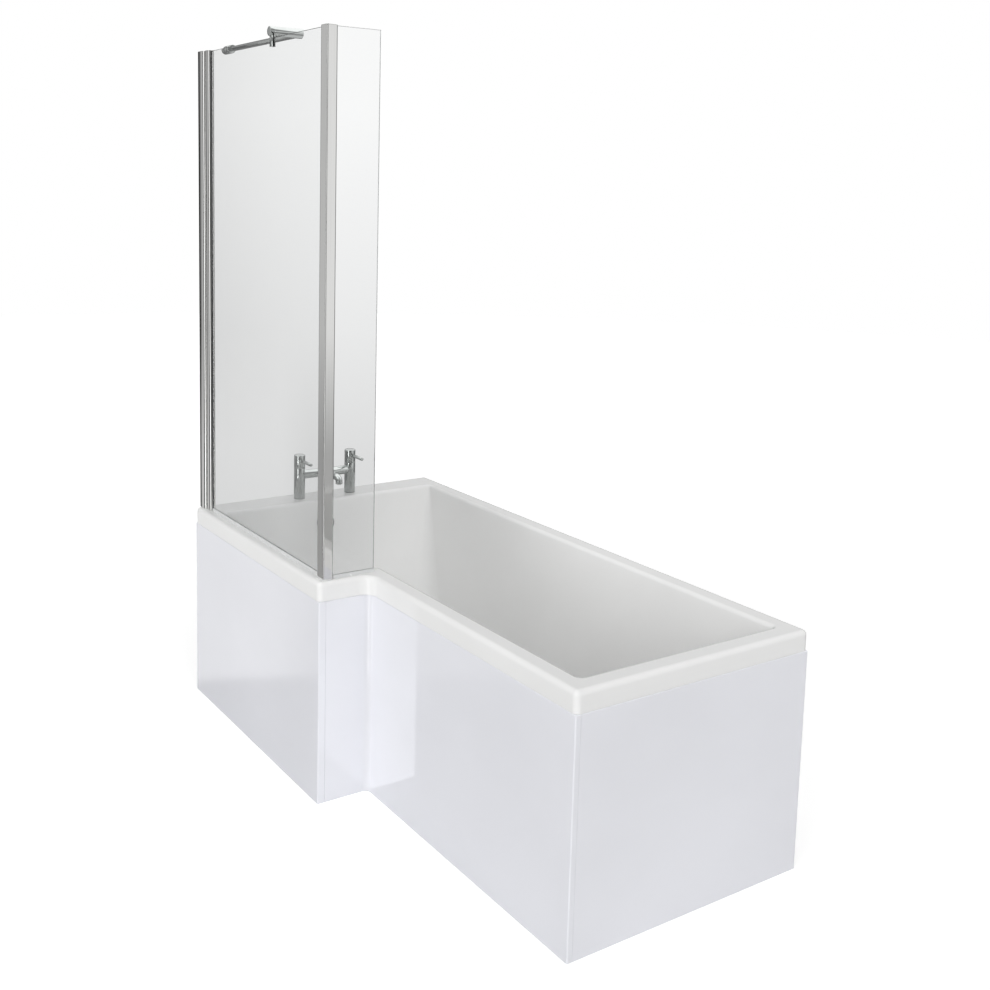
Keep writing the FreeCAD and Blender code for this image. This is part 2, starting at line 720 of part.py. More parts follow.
def tub_outline(level, corner, step_corner):
    """Tub outline at the top or low level."""
    return [
        (f"{level}_left", f"{level}_front", corner),
        (f"{level}_step_side", f"{level}_front", corner),
        (f"{level}_step_side", f"{level}_step_front", step_corner),
        (f"{level}_right", f"{level}_step_front", corner),
        (f"{level}_right", f"{level}_back", corner),
        (f"{level}_left", f"{level}_back", corner),
    ]


TUB_TOP = tub_outline("top", "tub_corner", "tub_step_corner")
TUB_LOW = tub_outline("low", "floor_corner", "tub_step_corner")


def make_bath_shell():
    body = new_body("shell_form")
    rim = new_sketch(body, "rim", height="rim_under")
    outline(rim, RIM_OUTLINE)
    pad(body, rim, "rim_depth")
    under = new_sketch(body, "under_rim", height="rim_under")
    outline(under, RIM_OUTLINE, grow="-shell_wall")
    pocket_up(body, under, "rim_depth - shell_wall")
    skin_top = new_sketch(body, "skin_top", height="deck_under")
    outline(skin_top, TUB_TOP, grow="shell_wall")
    skin_low = new_sketch(body, "skin_low", height="floor_under")
    outline(skin_low, TUB_LOW, grow="shell_wall")
    loft(body, "AdditiveLoft", skin_top, skin_low)
    tub_top = new_sketch(body, "tub_top", height="bath_height")
    outline(tub_top, TUB_TOP)
    tub_low = new_sketch(body, "tub_low", height="tub_floor")
    outline(tub_low, TUB_LOW)
    hollow = loft(body, "SubtractiveLoft", tub_top, tub_low)
    floor = level_face(hollow.Shape, number("tub_floor"), True)
    step = round_edges(body, hollow, "floor_round", floor.Edges)
    belly = level_face(step.Shape, number("floor_under"), False)
    step = round_edges(body, step, "floor_round + shell_wall", belly.OuterWire.Edges)
    deck = level_face(step.Shape, number("bath_height"), True)
    step = round_edges(body, step, "rim_round", deck.OuterWire.Edges)
    deck = level_face(step.Shape, number("bath_height"), True)
    mouth = [edge for edge in deck.Edges if not any(edge.isSame(rim) for rim in deck.OuterWire.Edges)]
    round_edges(body, step, "lip_round", mouth)
    holes = [wall_rod("overflow_hole", "overflow_hole_radius", "-end_wall * 3", "end_wall * 5")]
    for side, sign in SIDES:
        hole_start = ("tap_x", f"{sign} * tap_y", "rim_under")
        holes.append(rod(f"{side}_hole", "z", "tap_hole_radius", hole_start, "rim_depth * 2"))
    waste_start = ("waste_x", "waste_y", "body_top")
    holes.append(rod("waste_hole", "z", "waste_hole_radius", waste_start, "tub_depth"))
    node(cut("bath_shell_cut", body, *holes), "bath_shell")


RAILS = [
    ("foot", "foot_rail_x", "leg_front"),
    ("middle", "middle_rail_x", "leg_front"),
    ("tap", "tap_rail_x", "leg_wide_front"),
]


def rail_screw(rail, x, sign, radius, low, length):
    start = (x, f"(board_front + board_back) / 2 + {sign} * rail_screw_spacing / 2", low)
    return rod(f"{rail}_screw_part", "z", radius, start, length)


def make_base():
    """Board under the tub floor, rails across it, and the screws that join them."""
    board = box("board_form", ("board_left", "board_right"), ("board_front", "board_back"),
                ("board_under", "floor_under"))
    pilots = []
    screws = []
    for rail, x, front in RAILS:
        channel = box(
            f"{rail}_rail_form",
            (f"{x} - rail_width / 2", f"{x} + rail_width / 2"),
            (f"{front} - rail_overhang", "leg_back + rail_overhang"),
            ("board_under - rail_height", "board_under"),
        )
        inside = box(
            f"{rail}_rail_inside",
            (f"{x} - rail_width / 2 + rail_wall", f"{x} + rail_width / 2 - rail_wall"),
            (f"{front} - rail_overhang * 2", "leg_back + rail_overhang * 2"),
            ("board_under - rail_height * 2", "web_under"),
        )
        openings = [inside]
        for y in (front, "leg_back"):
            hole_start = (x, y, "web_under - rail_wall")
            hole = rod(f"{rail}_stud_hole", "z", "stud_radius + fit_gap", hole_start, "rail_wall * 4")
            openings.append(hole)
        for sign in (-1, 1):
            hole = "screw_radius + fit_gap"
            openings.append(rail_screw(rail, x, sign, hole, "web_under - rail_wall", "rail_wall * 4"))
            pilots.append(rail_screw(rail, x, sign, hole, "board_under", "rail_screw_length"))
            head_low = "web_under - screw_head_height"
            head = rail_screw(rail, x, sign, "screw_head_radius", head_low, "screw_head_height")
            shank = rail_screw(rail, x, sign, "screw_radius", "web_under", "rail_wall + rail_screw_length")
            screws.append(fuse(f"{rail}_screw", head, shank))
        node(cut(f"{rail}_rail_cut", channel, *openings), f"leg_rail_{rail}")
    node(cut("board_cut", board, *pilots), "base_board")
    node(group("rail_screw_group", *screws), "rail_screws")


def make_legs():
    """Threaded studs through the rails, with feet and lock nuts."""
    studs = []
    feet = []
    nuts = []
    for rail, x, front in RAILS:
        for y in (front, "leg_back"):
            stud_start = (x, y, "foot_floor")
            studs.append(rod(f"{rail}_stud", "z", "stud_radius", stud_start, "stud_top - foot_floor"))
            sole = rod(f"{rail}_sole", "z", "foot_radius", (x, y, "0"), "foot_height")
            boss = rod(f"{rail}_boss", "z", "foot_boss_radius", (x, y, "foot_height"), "foot_boss_height")
            socket = rod(f"{rail}_socket", "z", "stud_radius + fit_gap", stud_start, "boss_top")
            feet.append(cut(f"{rail}_foot", fuse(f"{rail}_foot_form", sole, boss), socket))
            for low in ("boss_top", "web_under - nut_height", "board_under"):
                nut = hexagon(f"{rail}_nut_form", "nut_radius", (x, y, low), "nut_height")
                bore_start = (x, y, f"{low} - nut_height")
                bore = rod(f"{rail}_nut_bore", "z", "stud_radius + fit_gap", bore_start, "nut_height * 3")
                nuts.append(cut(f"{rail}_nut", nut, bore))
    node(group("stud_group", *studs), "leg_studs")
    node(group("foot_group", *feet), "leg_feet")
    node(group("nut_group", *nuts), "leg_nuts")


# Panels

FRONT_SHEET = [
    ("bath_left", "panel_front", None),
    ("panel_side", "panel_front", "panel_outer_corner"),
    ("panel_side", "panel_long", "panel_inner_corner"),
    ("panel_end", "panel_long", "panel_end_corner"),
    ("panel_end", "panel_lip", None),
    ("inner_end", "panel_lip", None),
    ("inner_end", "inner_long", "panel_back_corner"),
    ("inner_side", "inner_long", "inner_inner_corner"),
    ("inner_side", "inner_front", "panel_back_corner"),
    ("bath_left", "inner_front", None),
]

FRONT_FOLD = [
    ("bath_left", "panel_front", None),
    ("panel_side", "panel_front", "panel_outer_corner"),
    ("panel_side", "panel_long", "panel_inner_corner"),
    ("fold_stop", "panel_long", None),
    ("fold_stop", "fold_long", None),
    ("fold_side", "fold_long", None),
    ("fold_side", "fold_front", None),
    ("bath_left", "fold_front", None),
]


def make_front_panel():
    body = new_body("front_panel_body")
    sheet = new_sketch(body, "front_sheet")
    outline(sheet, FRONT_SHEET)
    pad(body, sheet, "panel_top")
    fold = new_sketch(body, "front_fold", height="panel_fold")
    outline(fold, FRONT_FOLD)
    whole = pad(body, fold, "panel_wall")
    top = level_face(whole.Shape, number("panel_top"), True)
    reach = number("panel_wall") / 2
    shown = []
    for edge in top.OuterWire.Edges:
        middle = edge.valueAt((edge.FirstParameter + edge.LastParameter) / 2)
        near = abs(middle.y - number("panel_front")) < reach or abs(middle.y - number("panel_long")) < reach
        side = abs(middle.x - number("panel_side")) < number("panel_inner_corner") / 2
        end = abs(middle.x - number("panel_end")) < reach
        if (near or side or end) and middle.y < number("panel_lip") - reach:
            shown.append(edge)
    round_edges(body, whole, "panel_edge_round", shown)
    node(body, "front_panel")


def make_end_panel():
    along = ("panel_lip + panel_gap", "bath_back")
    sheet = box("end_sheet", ("inner_end", "panel_end"), along, ("0", "panel_top"))
    fold = box("end_fold", ("fold_end", "panel_end"), along, ("panel_fold", "panel_top"))
    whole = fuse("end_panel_form", sheet, fold)
    right, top = number("panel_end"), number("panel_top")

    def is_top_edge(edge):
        ends = [vertex.Point for vertex in edge.Vertexes]
        return all(abs(point.x - right) < SAME_PLACE and abs(point.z - top) < SAME_PLACE for point in ends)

    node(soften("end_panel_round", whole, "panel_edge_round", is_top_edge), "end_panel")


def make_battens():
    """Floor battens that the panels' lower edges stand against."""
    battens = [
        box("wide_batten", ("bath_left + batten_stop", "inner_side - batten_stop"),
            ("inner_front", "inner_front + batten_width"), ("0", "batten_height")),
        box("long_batten", ("panel_side + batten_stop", "inner_end - batten_stop"),
            ("inner_long", "inner_long + batten_width"), ("0", "batten_height")),
        box("end_batten", ("inner_end - batten_width", "inner_end"),
            ("panel_lip + batten_stop", "bath_back - batten_stop"), ("0", "batten_height")),
    ]
    node(group("batten_group", *battens), "panel_battens")


def make_clips():
    """Steel angles inside the skirt that the panels' folds are fixed to."""
    up = ("panel_top", "panel_top + clip_height")
    level = ("panel_top", "panel_top + clip_wall")
    clips = []
    sides = [
        ("bath_front + shell_wall", "fold_front", "bath_left", "step_side"),
        ("step_front + shell_wall", "fold_long", "step_side", "bath_right"),
    ]
    for skirt, fold, left, right in sides:
        for middle in (f"{left} + clip_inset", f"{right} - clip_inset"):
            width = (f"{middle} - clip_width / 2", f"{middle} + clip_width / 2")
            upright = box("clip_upright", width, (skirt, f"{skirt} + clip_wall"), up)
            ledge = box("clip_ledge", width, (skirt, fold), level)
            clips.append(fuse("front_clip", upright, ledge))
    skirt = "bath_right - shell_wall"
    for middle in ("step_front + clip_inset", "bath_back - clip_inset"):
        width = (f"{middle} - clip_width / 2", f"{middle} + clip_width / 2")
        upright = box("end_clip_upright", (f"{skirt} - clip_wall", skirt), width, up)
        ledge = box("end_clip_ledge", ("fold_end", skirt), width, level)
        clips.append(fuse("end_clip", upright, ledge))
    node(group("clip_group", *clips), "panel_clips")


# Screen

def extrude(name, corners, low, length):
    body = new_body(name)
    sketch = new_sketch(body, name + "_section", height=low)
    outline(sketch, corners)
    pad(body, sketch, length)
    return body


CHANNEL = [
    ("bath_left", "channel_front", "channel_corner"),
    ("channel_right", "channel_front", "channel_corner"),
    ("channel_right", "bore_front", None),
    ("channel_inner", "bore_front", None),
    ("channel_inner", "bore_rear", None),
    ("channel_right", "bore_rear", None),
    ("channel_right", "channel_rear", "channel_corner"),
    ("bath_left", "channel_rear", "channel_corner"),
]

PROFILE = [
    ("tongue_left", "tongue_front", None),
    ("channel_right", "tongue_front", None),
    ("channel_right", "profile_front", "profile_back_corner"),
    ("profile_right", "profile_front", "profile_corner"),
    ("profile_right", "groove_front", None),
    ("profile_groove", "groove_front", None),
    ("profile_groove", "groove_back", None),
    ("profile_right", "groove_back", None),
    ("profile_right", "profile_rear", "profile_corner"),
    ("channel_right", "profile_rear", "profile_back_corner"),
    ("channel_right", "tongue_rear", None),
    ("tongue_left", "tongue_rear", None),
]

POST = [
    ("post_left", "post_front", "post_corner"),
    ("post_right", "post_front", "post_corner"),
    ("post_right", "post_back", "post_corner"),
    ("groove_right", "post_back", None),
    ("groove_right", "groove_end_y", None),
    ("groove_left", "groove_end_y", None),
    ("groove_left", "post_back", None),
    ("post_left", "post_back", "post_corner"),
    ("post_left", "groove_back", None),
    ("groove_end_x", "groove_back", None),
    ("groove_end_x", "groove_front", None),
    ("post_left", "groove_front", None),
]

POST_PLAN = [POST[0], POST[1], POST[2], POST[7]]


def screw_heights():
    return ("bath_height + channel_screw_end", "screen_middle", "post_top - channel_screw_end")


def make_wall_profiles():
    """Channel on the wall, the profile that slides into it, and their screws and cap."""
    channel = extrude("channel_body", CHANNEL, "bath_height", "post_top - bath_height")
    profile = extrude("profile_body", PROFILE, "bath_height", "post_top - bath_height")
    wall_holes = []
    side_holes = []
    screws = []
    side_x = "(tongue_left + channel_right) / 2"
    for z in screw_heights():
        hole_start = ("bath_left - channel_back", "glass_y", z)
        wall_holes.append(rod("wall_hole", "x", "channel_screw_radius", hole_start, "channel_back * 3"))
        start = (side_x, "glass_y", f"{z} + channel_screw_end / 2")
        side_holes.append(rod("side_hole", "y", "screw_radius + fit_gap", start, "channel_width"))
        shank = rod("side_shank", "y", "screw_radius", start, "channel_width / 2")
        head_start = (side_x, "channel_rear", start[2])
        head = rod("side_head", "y", "screw_head_radius", head_start, "screw_head_height")
        screws.append(fuse("side_screw", shank, head))
    node(cut("channel_cut", channel, *wall_holes, *side_holes), "wall_channel")
    node(cut("profile_cut", profile, *side_holes), "glass_profile")
    node(group("profile_screw_group", *screws), "profile_screws")
    cap = [
        ("bath_left", "channel_front", "channel_corner"),
        ("channel_right", "channel_front", None),
        ("channel_right", "profile_front", None),
        ("profile_right", "profile_front", "profile_corner"),
        ("profile_right", "profile_rear", "profile_corner"),
        ("channel_right", "profile_rear", None),
        ("channel_right", "channel_rear", None),
        ("bath_left", "channel_rear", "channel_corner"),
    ]
    node(extrude("profile_cap_body", cap, "post_top", "cap_height"), "profile_cap")


def make_corner_post():
    node(extrude("post_body", POST, "post_under", "post_top - post_under"), "corner_post")
    node(extrude("post_foot_body", POST_PLAN, "bath_height", "post_foot_height"), "post_foot")
    node(extrude("post_cap_body", POST_PLAN, "post_top", "cap_height"), "post_cap")


def make_glass():
    height = ("glass_under", "post_top")
    main = box("main_glass_box", ("profile_groove + glass_edge", "groove_end_x - glass_edge"),
               ("glass_front", "glass_back"), height)
    side = box("return_glass_box", ("return_left", "return_right"),
               ("groove_end_y + glass_edge", "return_end"), height)
    node(main, "main_glass")
    node(side, "return_glass")


def gasket(name, x, y, slot_x, slot_y):
    """Folded strip that fills a groove round a glass edge."""
    height = ("glass_under", "post_top")
    strip = box(name + "_strip", x, y, height)
    slot = box(name + "_slot", slot_x, slot_y, ("bath_height", "screen_top"))
    return cut(name, strip, slot)


def make_gaskets():
    across = ("groove_front", "groove_back")
    glass = ("glass_front", "glass_back")
    wall_side = gasket("wall_gasket", ("profile_groove", "profile_right + gasket_lip"), across,
                       ("profile_groove + glass_edge", "profile_right + profile_length"), glass)
    post_side = gasket("post_gasket", ("post_left - gasket_lip", "groove_end_x"), across,
                       ("post_left - post_width", "groove_end_x - glass_edge"), glass)
    return_side = gasket("return_gasket", ("groove_left", "groove_right"),
                         ("groove_end_y", "post_back + gasket_lip"), ("return_left", "return_right"),
                         ("groove_end_y + glass_edge", "post_back + post_depth"))
    node(wall_side, "profile_gasket")
    node(group("post_gasket_group", post_side, return_side), "post_gaskets")


def make_seals():
    """Clear strips on the glass that close the joint to the rim."""
    height = ("bath_height", "bath_height + seal_height")
    slot_height = ("glass_under", "glass_under + seal_height")
    main_x = ("profile_right + gasket_lip + seal_wall", "post_left - gasket_lip - seal_wall")
    strip = box("main_seal_strip", main_x, ("glass_front - seal_wall", "glass_back + seal_wall"), height)
    slot = box("main_seal_slot", ("bath_left", "bath_right"), ("glass_front", "glass_back"), slot_height)
    node(cut("main_seal_cut", strip, slot), "main_seal")
    return_y = ("post_back + gasket_lip + seal_wall", "return_end")
    return_x = ("return_left - seal_wall", "return_right + seal_wall")
    strip = box("return_seal_strip", return_x, return_y, height)
    slot = box("return_seal_slot", ("return_left", "return_right"), ("bath_front", "bath_back"), slot_height)
    node(cut("return_seal_cut", strip, slot), "return_seal")


def make_support_bar():
    """Bar that steadies the top of the glass from the end wall."""
    wall_end = ("bath_left", "bar_y", "bar_z")
    cup = rod("bracket_cup", "x", "knuckle_radius", wall_end, "bracket_length")
    fork = box("bracket_fork", ("fork_left", "bracket_right + fork_depth"),
               ("bar_y - fork_width / 2", "bar_y + fork_width / 2"),
               ("bar_z - knuckle_radius * 2", "bar_z + knuckle_radius * 2"))
    pin_start = ("pin_x", "bar_y - knuckle_radius", "bar_z")
    pin_length = "knuckle_radius * 2"
    pin_hole = rod("bracket_pin_hole", "y", "pin_radius + fit_gap", pin_start, pin_length)
    node(cut("bracket_cut", cup, fork, pin_hole), "support_bracket")
    pin = rod("pin_rod", "y", "pin_radius", pin_start, pin_length)
    trim = rod("pin_trim", "x", "knuckle_radius", wall_end, "bracket_length")
    node(common("pin_common", pin, trim), "bracket_pin")

    collar_start = ("bracket_right + fork_play", "bar_y", "bar_z")
    collar = rod("collar", "x", "knuckle_radius", collar_start, "collar_length")
    flat = box("tongue_flat", ("fork_left + fork_play", "bracket_right + fork_depth"),
               ("bar_y - tongue_half", "bar_y + tongue_half"),
               ("bar_z - knuckle_radius", "bar_z + knuckle_radius"))
    tongue_start = ("fork_left + fork_play", "bar_y", "bar_z")
    barrel = rod("tongue_round", "x", "knuckle_radius", tongue_start, "fork_depth")
    eye = rod("tongue_eye", "y", "pin_radius + fit_gap", pin_start, pin_length)
    form = fuse("rod_end_form", collar, common("rod_tongue", flat, barrel))
    node(cut("rod_end_cut", form, eye), "rod_end")
    bar_start = ("collar_right", "bar_y", "bar_z")
    node(rod("bar", "x", "bar_radius", bar_start, "bar_end - collar_right"), "support_rod")


def make_glass_clamp():
    """Clamp that sits over the glass's top edge and holds the bar's other end."""
    barrel = rod("clamp_barrel", "y", "knuckle_radius", ("clamp_x", "clamp_start", "clamp_z"),
                 "clamp_end - clamp_start")
    pin = rod("clamp_pin", "z", "clamp_pin_radius", ("clamp_x", "glass_y", "clamp_low"), "clamp_z - clamp_low")
    sides = (
        ("front", ("glass_front - clamp_pad", "glass_front")),
        ("back", ("glass_back", "glass_back + clamp_pad")),
    )
    pads = []
    for side, pad_y in sides:
        pad_x = ("clamp_x - clamp_pin_radius / 2", "clamp_x + clamp_pin_radius / 2")
        pads.append(box(f"{side}_pad", pad_x, pad_y, ("clamp_low + clamp_pad", "post_top - clamp_pad")))
    gap = box("clamp_gap", ("clamp_x - knuckle_radius * 2", "clamp_x + knuckle_radius * 2"),
              ("glass_front - clamp_pad", "glass_back + clamp_pad"),
              ("clamp_low - clamp_pad", "post_top + clamp_pad"))
    socket = rod("clamp_socket", "x", "bar_radius + fit_gap",
                 ("clamp_x - knuckle_radius * 2", "bar_y", "bar_z"),
                 "bar_end + fit_gap - clamp_x + knuckle_radius * 2")
    grub_hole = rod("grub_hole", "z", "grub_radius + fit_gap", ("clamp_x", "bar_y", "bar_z"),
                    "knuckle_radius * 3")
    node(cut("clamp_cut", fuse("clamp_form", barrel, pin), gap, socket, grub_hole), "glass_clamp")
    node(group("clamp_pad_group", *pads), "clamp_pads")
    grub_start = ("clamp_x", "bar_y", "bar_z + bar_radius + fit_gap")
    grub_length = "clamp_z + knuckle_radius - bar_z - bar_radius - grub_radius"
    node(rod("grub", "z", "grub_radius", grub_start, grub_length), "clamp_screw")


# Tap

def make_tap_sides():
    """Hot and cold pillars with their valves, handles, tails and nuts."""
    port = rod("valve_port", "y", "waterway_radius", ("tap_x", "-tap_y", "bridge_z"), "tap_pitch")
    washers = []
    nuts = []
    tails = []
    for side, sign in SIDES:
        y = f"{sign} * tap_y"

        def upright(name, radius, low, high):
            return rod(f"{side}_{name}", "z", radius, ("tap_x", y, low), f"({high}) - ({low})")

        column = upright("column", "pillar_radius", "pillar_under", "pillar_top")
        chamber = upright("chamber", "cartridge_radius + fit_gap", "cartridge_low", "handle_top")
        waterway = upright("waterway", "waterway_radius", "inlet_low - inlet_length", "handle_under")
        node(cut(f"{side}_pillar_cut", column, chamber, waterway, port), f"{side}_pillar")

        valve = upright("valve", "cartridge_radius", "cartridge_low", "pillar_top")
        bore_radius = "spindle_radius + spindle_play"
        bore = upright("valve_bore", bore_radius, "spindle_low - handle_gap", "handle_top")
        node(cut(f"{side}_cartridge_cut", valve, bore), f"{side}_cartridge")
        node(upright("spindle_rod", "spindle_radius", "spindle_low", "spindle_top"), f"{side}_spindle")

        knob = upright("knob", "pillar_radius", "handle_under", "handle_top")
        knob = soften(f"{side}_knob_round", knob, "handle_edge", is_ring_at("z", number("handle_top")))
        seat = upright("seat", "spindle_radius + fit_gap", "pillar_top", "spindle_top")
        lever_start = ("tap_x + pillar_radius - lever_seat", y, "lever_z")
        hole = rod(f"{side}_lever_hole", "x", "lever_radius + fit_gap", lever_start, "pillar_radius")
        node(cut(f"{side}_handle_cut", knob, seat, hole), f"{side}_handle")
        lever_length = "lever_reach - pillar_radius + lever_seat"
        pin = rod(f"{side}_lever_pin", "x", "lever_radius", lever_start, lever_length)
        is_tip = is_ring_at("x", number("tap_x") + number("lever_reach"))
        node(soften(f"{side}_lever_round", pin, "handle_edge", is_tip), f"{side}_lever")

        ring = upright("washer_ring", "pillar_radius", "bath_height", "pillar_under")
        eye = upright("washer_eye", "tail_radius + fit_gap", "deck_under", "pillar_top")
        washers.append(cut(f"{side}_washer", ring, eye))
        shank = upright("tail_shank", "tail_radius", "inlet_top", "pillar_under")
        inlet = upright("tail_inlet", "inlet_radius", "inlet_low", "inlet_top")
        tails.append(cut(f"{side}_tail", fuse(f"{side}_tail_form", shank, inlet), waterway))
        nut = hexagon(f"{side}_backnut_form", "backnut_radius", ("tap_x", y, "backnut_low"), "backnut_height")
        thread = upright("backnut_bore", "tail_radius + fit_gap", "inlet_low", "bath_height")
        nuts.append(cut(f"{side}_backnut", nut, thread))
    node(group("washer_group", *washers), "tap_washers")
    node(group("tail_group", *tails), "tap_tails")
    node(group("backnut_group", *nuts), "tap_backnuts")


def make_tap_middle():
    """Bridge between the pillars, with the spout and its aerator."""
    bar_start = ("tap_x", "-tap_y", "bridge_z")
    bar = rod("bridge_bar", "y", "bridge_radius", bar_start, "tap_pitch")
    openings = [rod("bridge_bore", "y", "waterway_radius", bar_start, "tap_pitch")]
    openings.append(rod("spout_port", "x", "waterway_radius", ("tap_x", "0", "bridge_z"), "spout_reach"))
    for side, sign in SIDES:
        end_start = ("tap_x", f"{sign} * tap_y", "bath_height")
        openings.append(rod(f"{side}_bridge_end", "z", "pillar_radius + fit_gap", end_start, "pillar_height"))
    node(cut("bridge_cut", bar, *openings), "tap_bridge")
    path = [
        ("tap_x", "bridge_z", None),
        ("spout_end", "bridge_z", "spout_bend"),
        ("spout_end", "spout_low", None),
    ]
    pipe = tube("spout_pipe", path, "spout_radius", "spout_bore", ("YZ_Plane", "tap_x", None, "bridge_z"))
    saddle = rod("spout_saddle", "y", "bridge_radius + fit_gap", bar_start, "tap_pitch")
    node(cut("spout_cut", pipe, saddle), "tap_spout")
    start = ("spout_end", "0", "spout_low - aerator_show")
    ring = rod("aerator_ring", "z", "aerator_radius", start, "aerator_height")
    mouth = rod("aerator_mouth", "z", "aerator_hole", start, "aerator_height / 2")
    node(cut("aerator_cut", ring, mouth), "spout_aerator")


# Waste, plug and overflow

def make_waste():
    def upright(name, radius, low, high):
        return rod(name, "z", radius, ("waste_x", "waste_y", low), f"({high}) - ({low})")

    ring = upright("flange_ring", "waste_radius", "tub_floor", "flange_top")
    pipe = upright("flange_pipe", "waste_tube_radius", "tube_low", "flange_top")
    bore = upright("flange_bore", "waste_bore", "body_low", "plug_top")
    recess = upright("flange_recess", "recess_radius", "flange_top - recess_depth", "plug_top")
    cup = cut("flange_cut", fuse("flange_form", ring, pipe), bore, recess)
    hub = upright("guide_hub", "guide_radius", "guide_low", "guide_top")
    half_bore = ("waste_x - waste_bore", "waste_x + waste_bore")
    half_arm = ("waste_x - guide_width / 2", "waste_x + guide_width / 2")
    guide_z = ("guide_low", "guide_top")
    arm_sides = ("waste_y - guide_width / 2", "waste_y + guide_width / 2")
    arm_x = box("guide_arm_x", half_bore, arm_sides, guide_z)
    arm_y = box("guide_arm_y", half_arm, ("waste_y - waste_bore", "waste_y + waste_bore"), guide_z)
    eye = upright("guide_eye", "stem_radius + stem_play", "body_low", "plug_top")
    inlet = box("overflow_inlet", ("waste_x - waste_radius", "waste_x"),
                ("waste_y - guide_width", "waste_y + guide_width"), ("body_low", "guide_low"))
    form = fuse("waste_flange_form", cup, hub, arm_x, arm_y)
    node(cut("waste_flange_cut", form, eye, inlet), "waste_flange")

    disc = upright("plug_disc", "plug_radius", "plug_under", "plug_top")
    dome = doc.addObject("Part::Cone", "plug_dome")
    dome.setExpression("Radius1", ex("plug_radius"))
    dome.setExpression("Radius2", ex("plug_radius - plug_crown * 3"))
    dome.setExpression("Height", ex("plug_crown"))
    place(dome, "waste_x", "waste_y", "plug_top")
    plug = fuse("plug_form", disc, dome)
    tests = [is_ring_at("z", number("plug_top")), is_ring_at("z", number("plug_top") + number("plug_crown"))]
    rounded = soften("plug_round", plug, "plug_crown", lambda edge: any(test(edge) for test in tests))
    node(rounded, "plug_cap")
    node(upright("stem_rod", "stem_radius", "plug_under - stem_length", "plug_under"), "plug_stem")

    ring = upright("seal_ring", "waste_body_radius", "body_top", "floor_under")
    eye = upright("seal_eye", "waste_tube_radius + fit_gap", "tube_low", "flange_top")
    wall_ring = wall_rod("overflow_seal_ring", "elbow_radius", "-end_wall - waste_seal", "waste_seal")
    wall_eye = wall_rod("overflow_seal_eye", "overflow_tube_radius + fit_gap",
                        "-end_wall - waste_seal * 2", "waste_seal * 3")
    seals = [cut("waste_seal_cut", ring, eye), cut("overflow_seal_cut", wall_ring, wall_eye)]
    node(group("seal_group", *seals), "waste_seals")

    pot = upright("pot", "waste_body_radius", "body_low", "body_top")
    collar = upright("pot_collar", "waste_tube_radius + fit_gap", "tube_low", "flange_top")
    sump = upright("pot_sump", "trap_bore", "body_low - waste_seal", "body_top")
    stub_start = ("stub_x", "waste_y", "stub_z")
    stub = rod("pot_stub", "x", "hose_bore - fit_gap", stub_start, "waste_x - stub_x")
    stub_bore = rod("pot_stub_bore", "x", "spigot_bore", stub_start, "waste_x - stub_x")
    node(cut("pot_cut", fuse("pot_form", pot, stub), collar, sump, stub_bore), "waste_body")

    path = [
        ("waste_x", "body_low", None),
        ("waste_x", "trap_low", "trap_bend"),
        ("trap_left", "trap_low", "trap_bend"),
        ("trap_left", "trap_out_height", "trap_out_bend"),
        ("trap_end", "trap_out_height", None),
    ]
    mouth = ("XY_Plane", "body_low", "waste_x", "waste_y")
    node(tube("trap_pipe", path, "trap_radius", "trap_bore", mouth, "waste_y"), "waste_trap")


def make_overflow():
    """Rose on the tub's end wall, with the elbow and hose that lead to the waste."""
    disc = wall_rod("rose_disc", "overflow_radius", "0", "overflow_thick")
    tail = wall_rod("rose_tail", "overflow_tube_radius", "elbow_middle",
                    "overflow_thick / 2 - elbow_middle")
    tail_bore = wall_rod("rose_bore", "overflow_tube_radius - hose_wall", "elbow_middle",
                         "overflow_thick / 2 - elbow_middle")
    slot = box("rose_slot", ("overflow_x", "overflow_x + overflow_thick * 3"),
               ("waste_y - overflow_slot_width / 2", "waste_y + overflow_slot_width / 2"),
               ("overflow_z - overflow_slot_drop - overflow_slot", "overflow_z - overflow_slot_drop"))
    node(cut("rose_cut", fuse("rose_form", disc, tail), tail_bore, slot), "overflow_rose")
    cup = wall_rod("elbow_cup", "elbow_radius", "elbow_middle - elbow_thick / 2", "elbow_thick")
    spigot_start = ("elbow_x", "waste_y", "hose_top - stub_length")
    spigot = rod("elbow_spigot", "z", "hose_bore - fit_gap", spigot_start, "hose_drop + stub_length")
    spigot_bore = rod("elbow_spigot_bore", "z", "spigot_bore", spigot_start, "hose_drop + stub_length")
    bore = wall_rod("elbow_bore", "overflow_tube_radius + fit_gap", "elbow_middle - fit_gap", "elbow_thick")
    node(cut("elbow_cut", fuse("elbow_form", cup, spigot), bore, spigot_bore), "overflow_elbow")
    path = [
        ("elbow_x", "hose_top", None),
        ("elbow_x", "stub_z", "hose_bend"),
        ("hose_end", "stub_z", None),
    ]
    mouth = ("XY_Plane", "hose_top", "elbow_x", "waste_y")
    node(tube("hose_pipe", path, "hose_radius", "hose_bore", mouth, "waste_y"), "overflow_hose")


def check_model():
    """Stops if any object failed or any sub-part is not a sound solid."""
    doc.recompute()
    for thing in doc.Objects:
        if "Invalid" in thing.State or "Error" in thing.State:
            raise RuntimeError(f"{thing.Label} failed: {thing.State}")
    for thing in nodes:
        if thing.Shape.isNull() or not thing.Shape.isValid() or not thing.Shape.Solids:
            raise RuntimeError(f"{thing.Label} is not a sound solid")


def write_parts():
    os.makedirs("parts", exist_ok=True)
    for thing in nodes:
        thing.Shape.exportStep(f"parts/{thing.Label}.step")
        print(thing.Label, len(thing.Shape.Solids), round(thing.Shape.Volume))


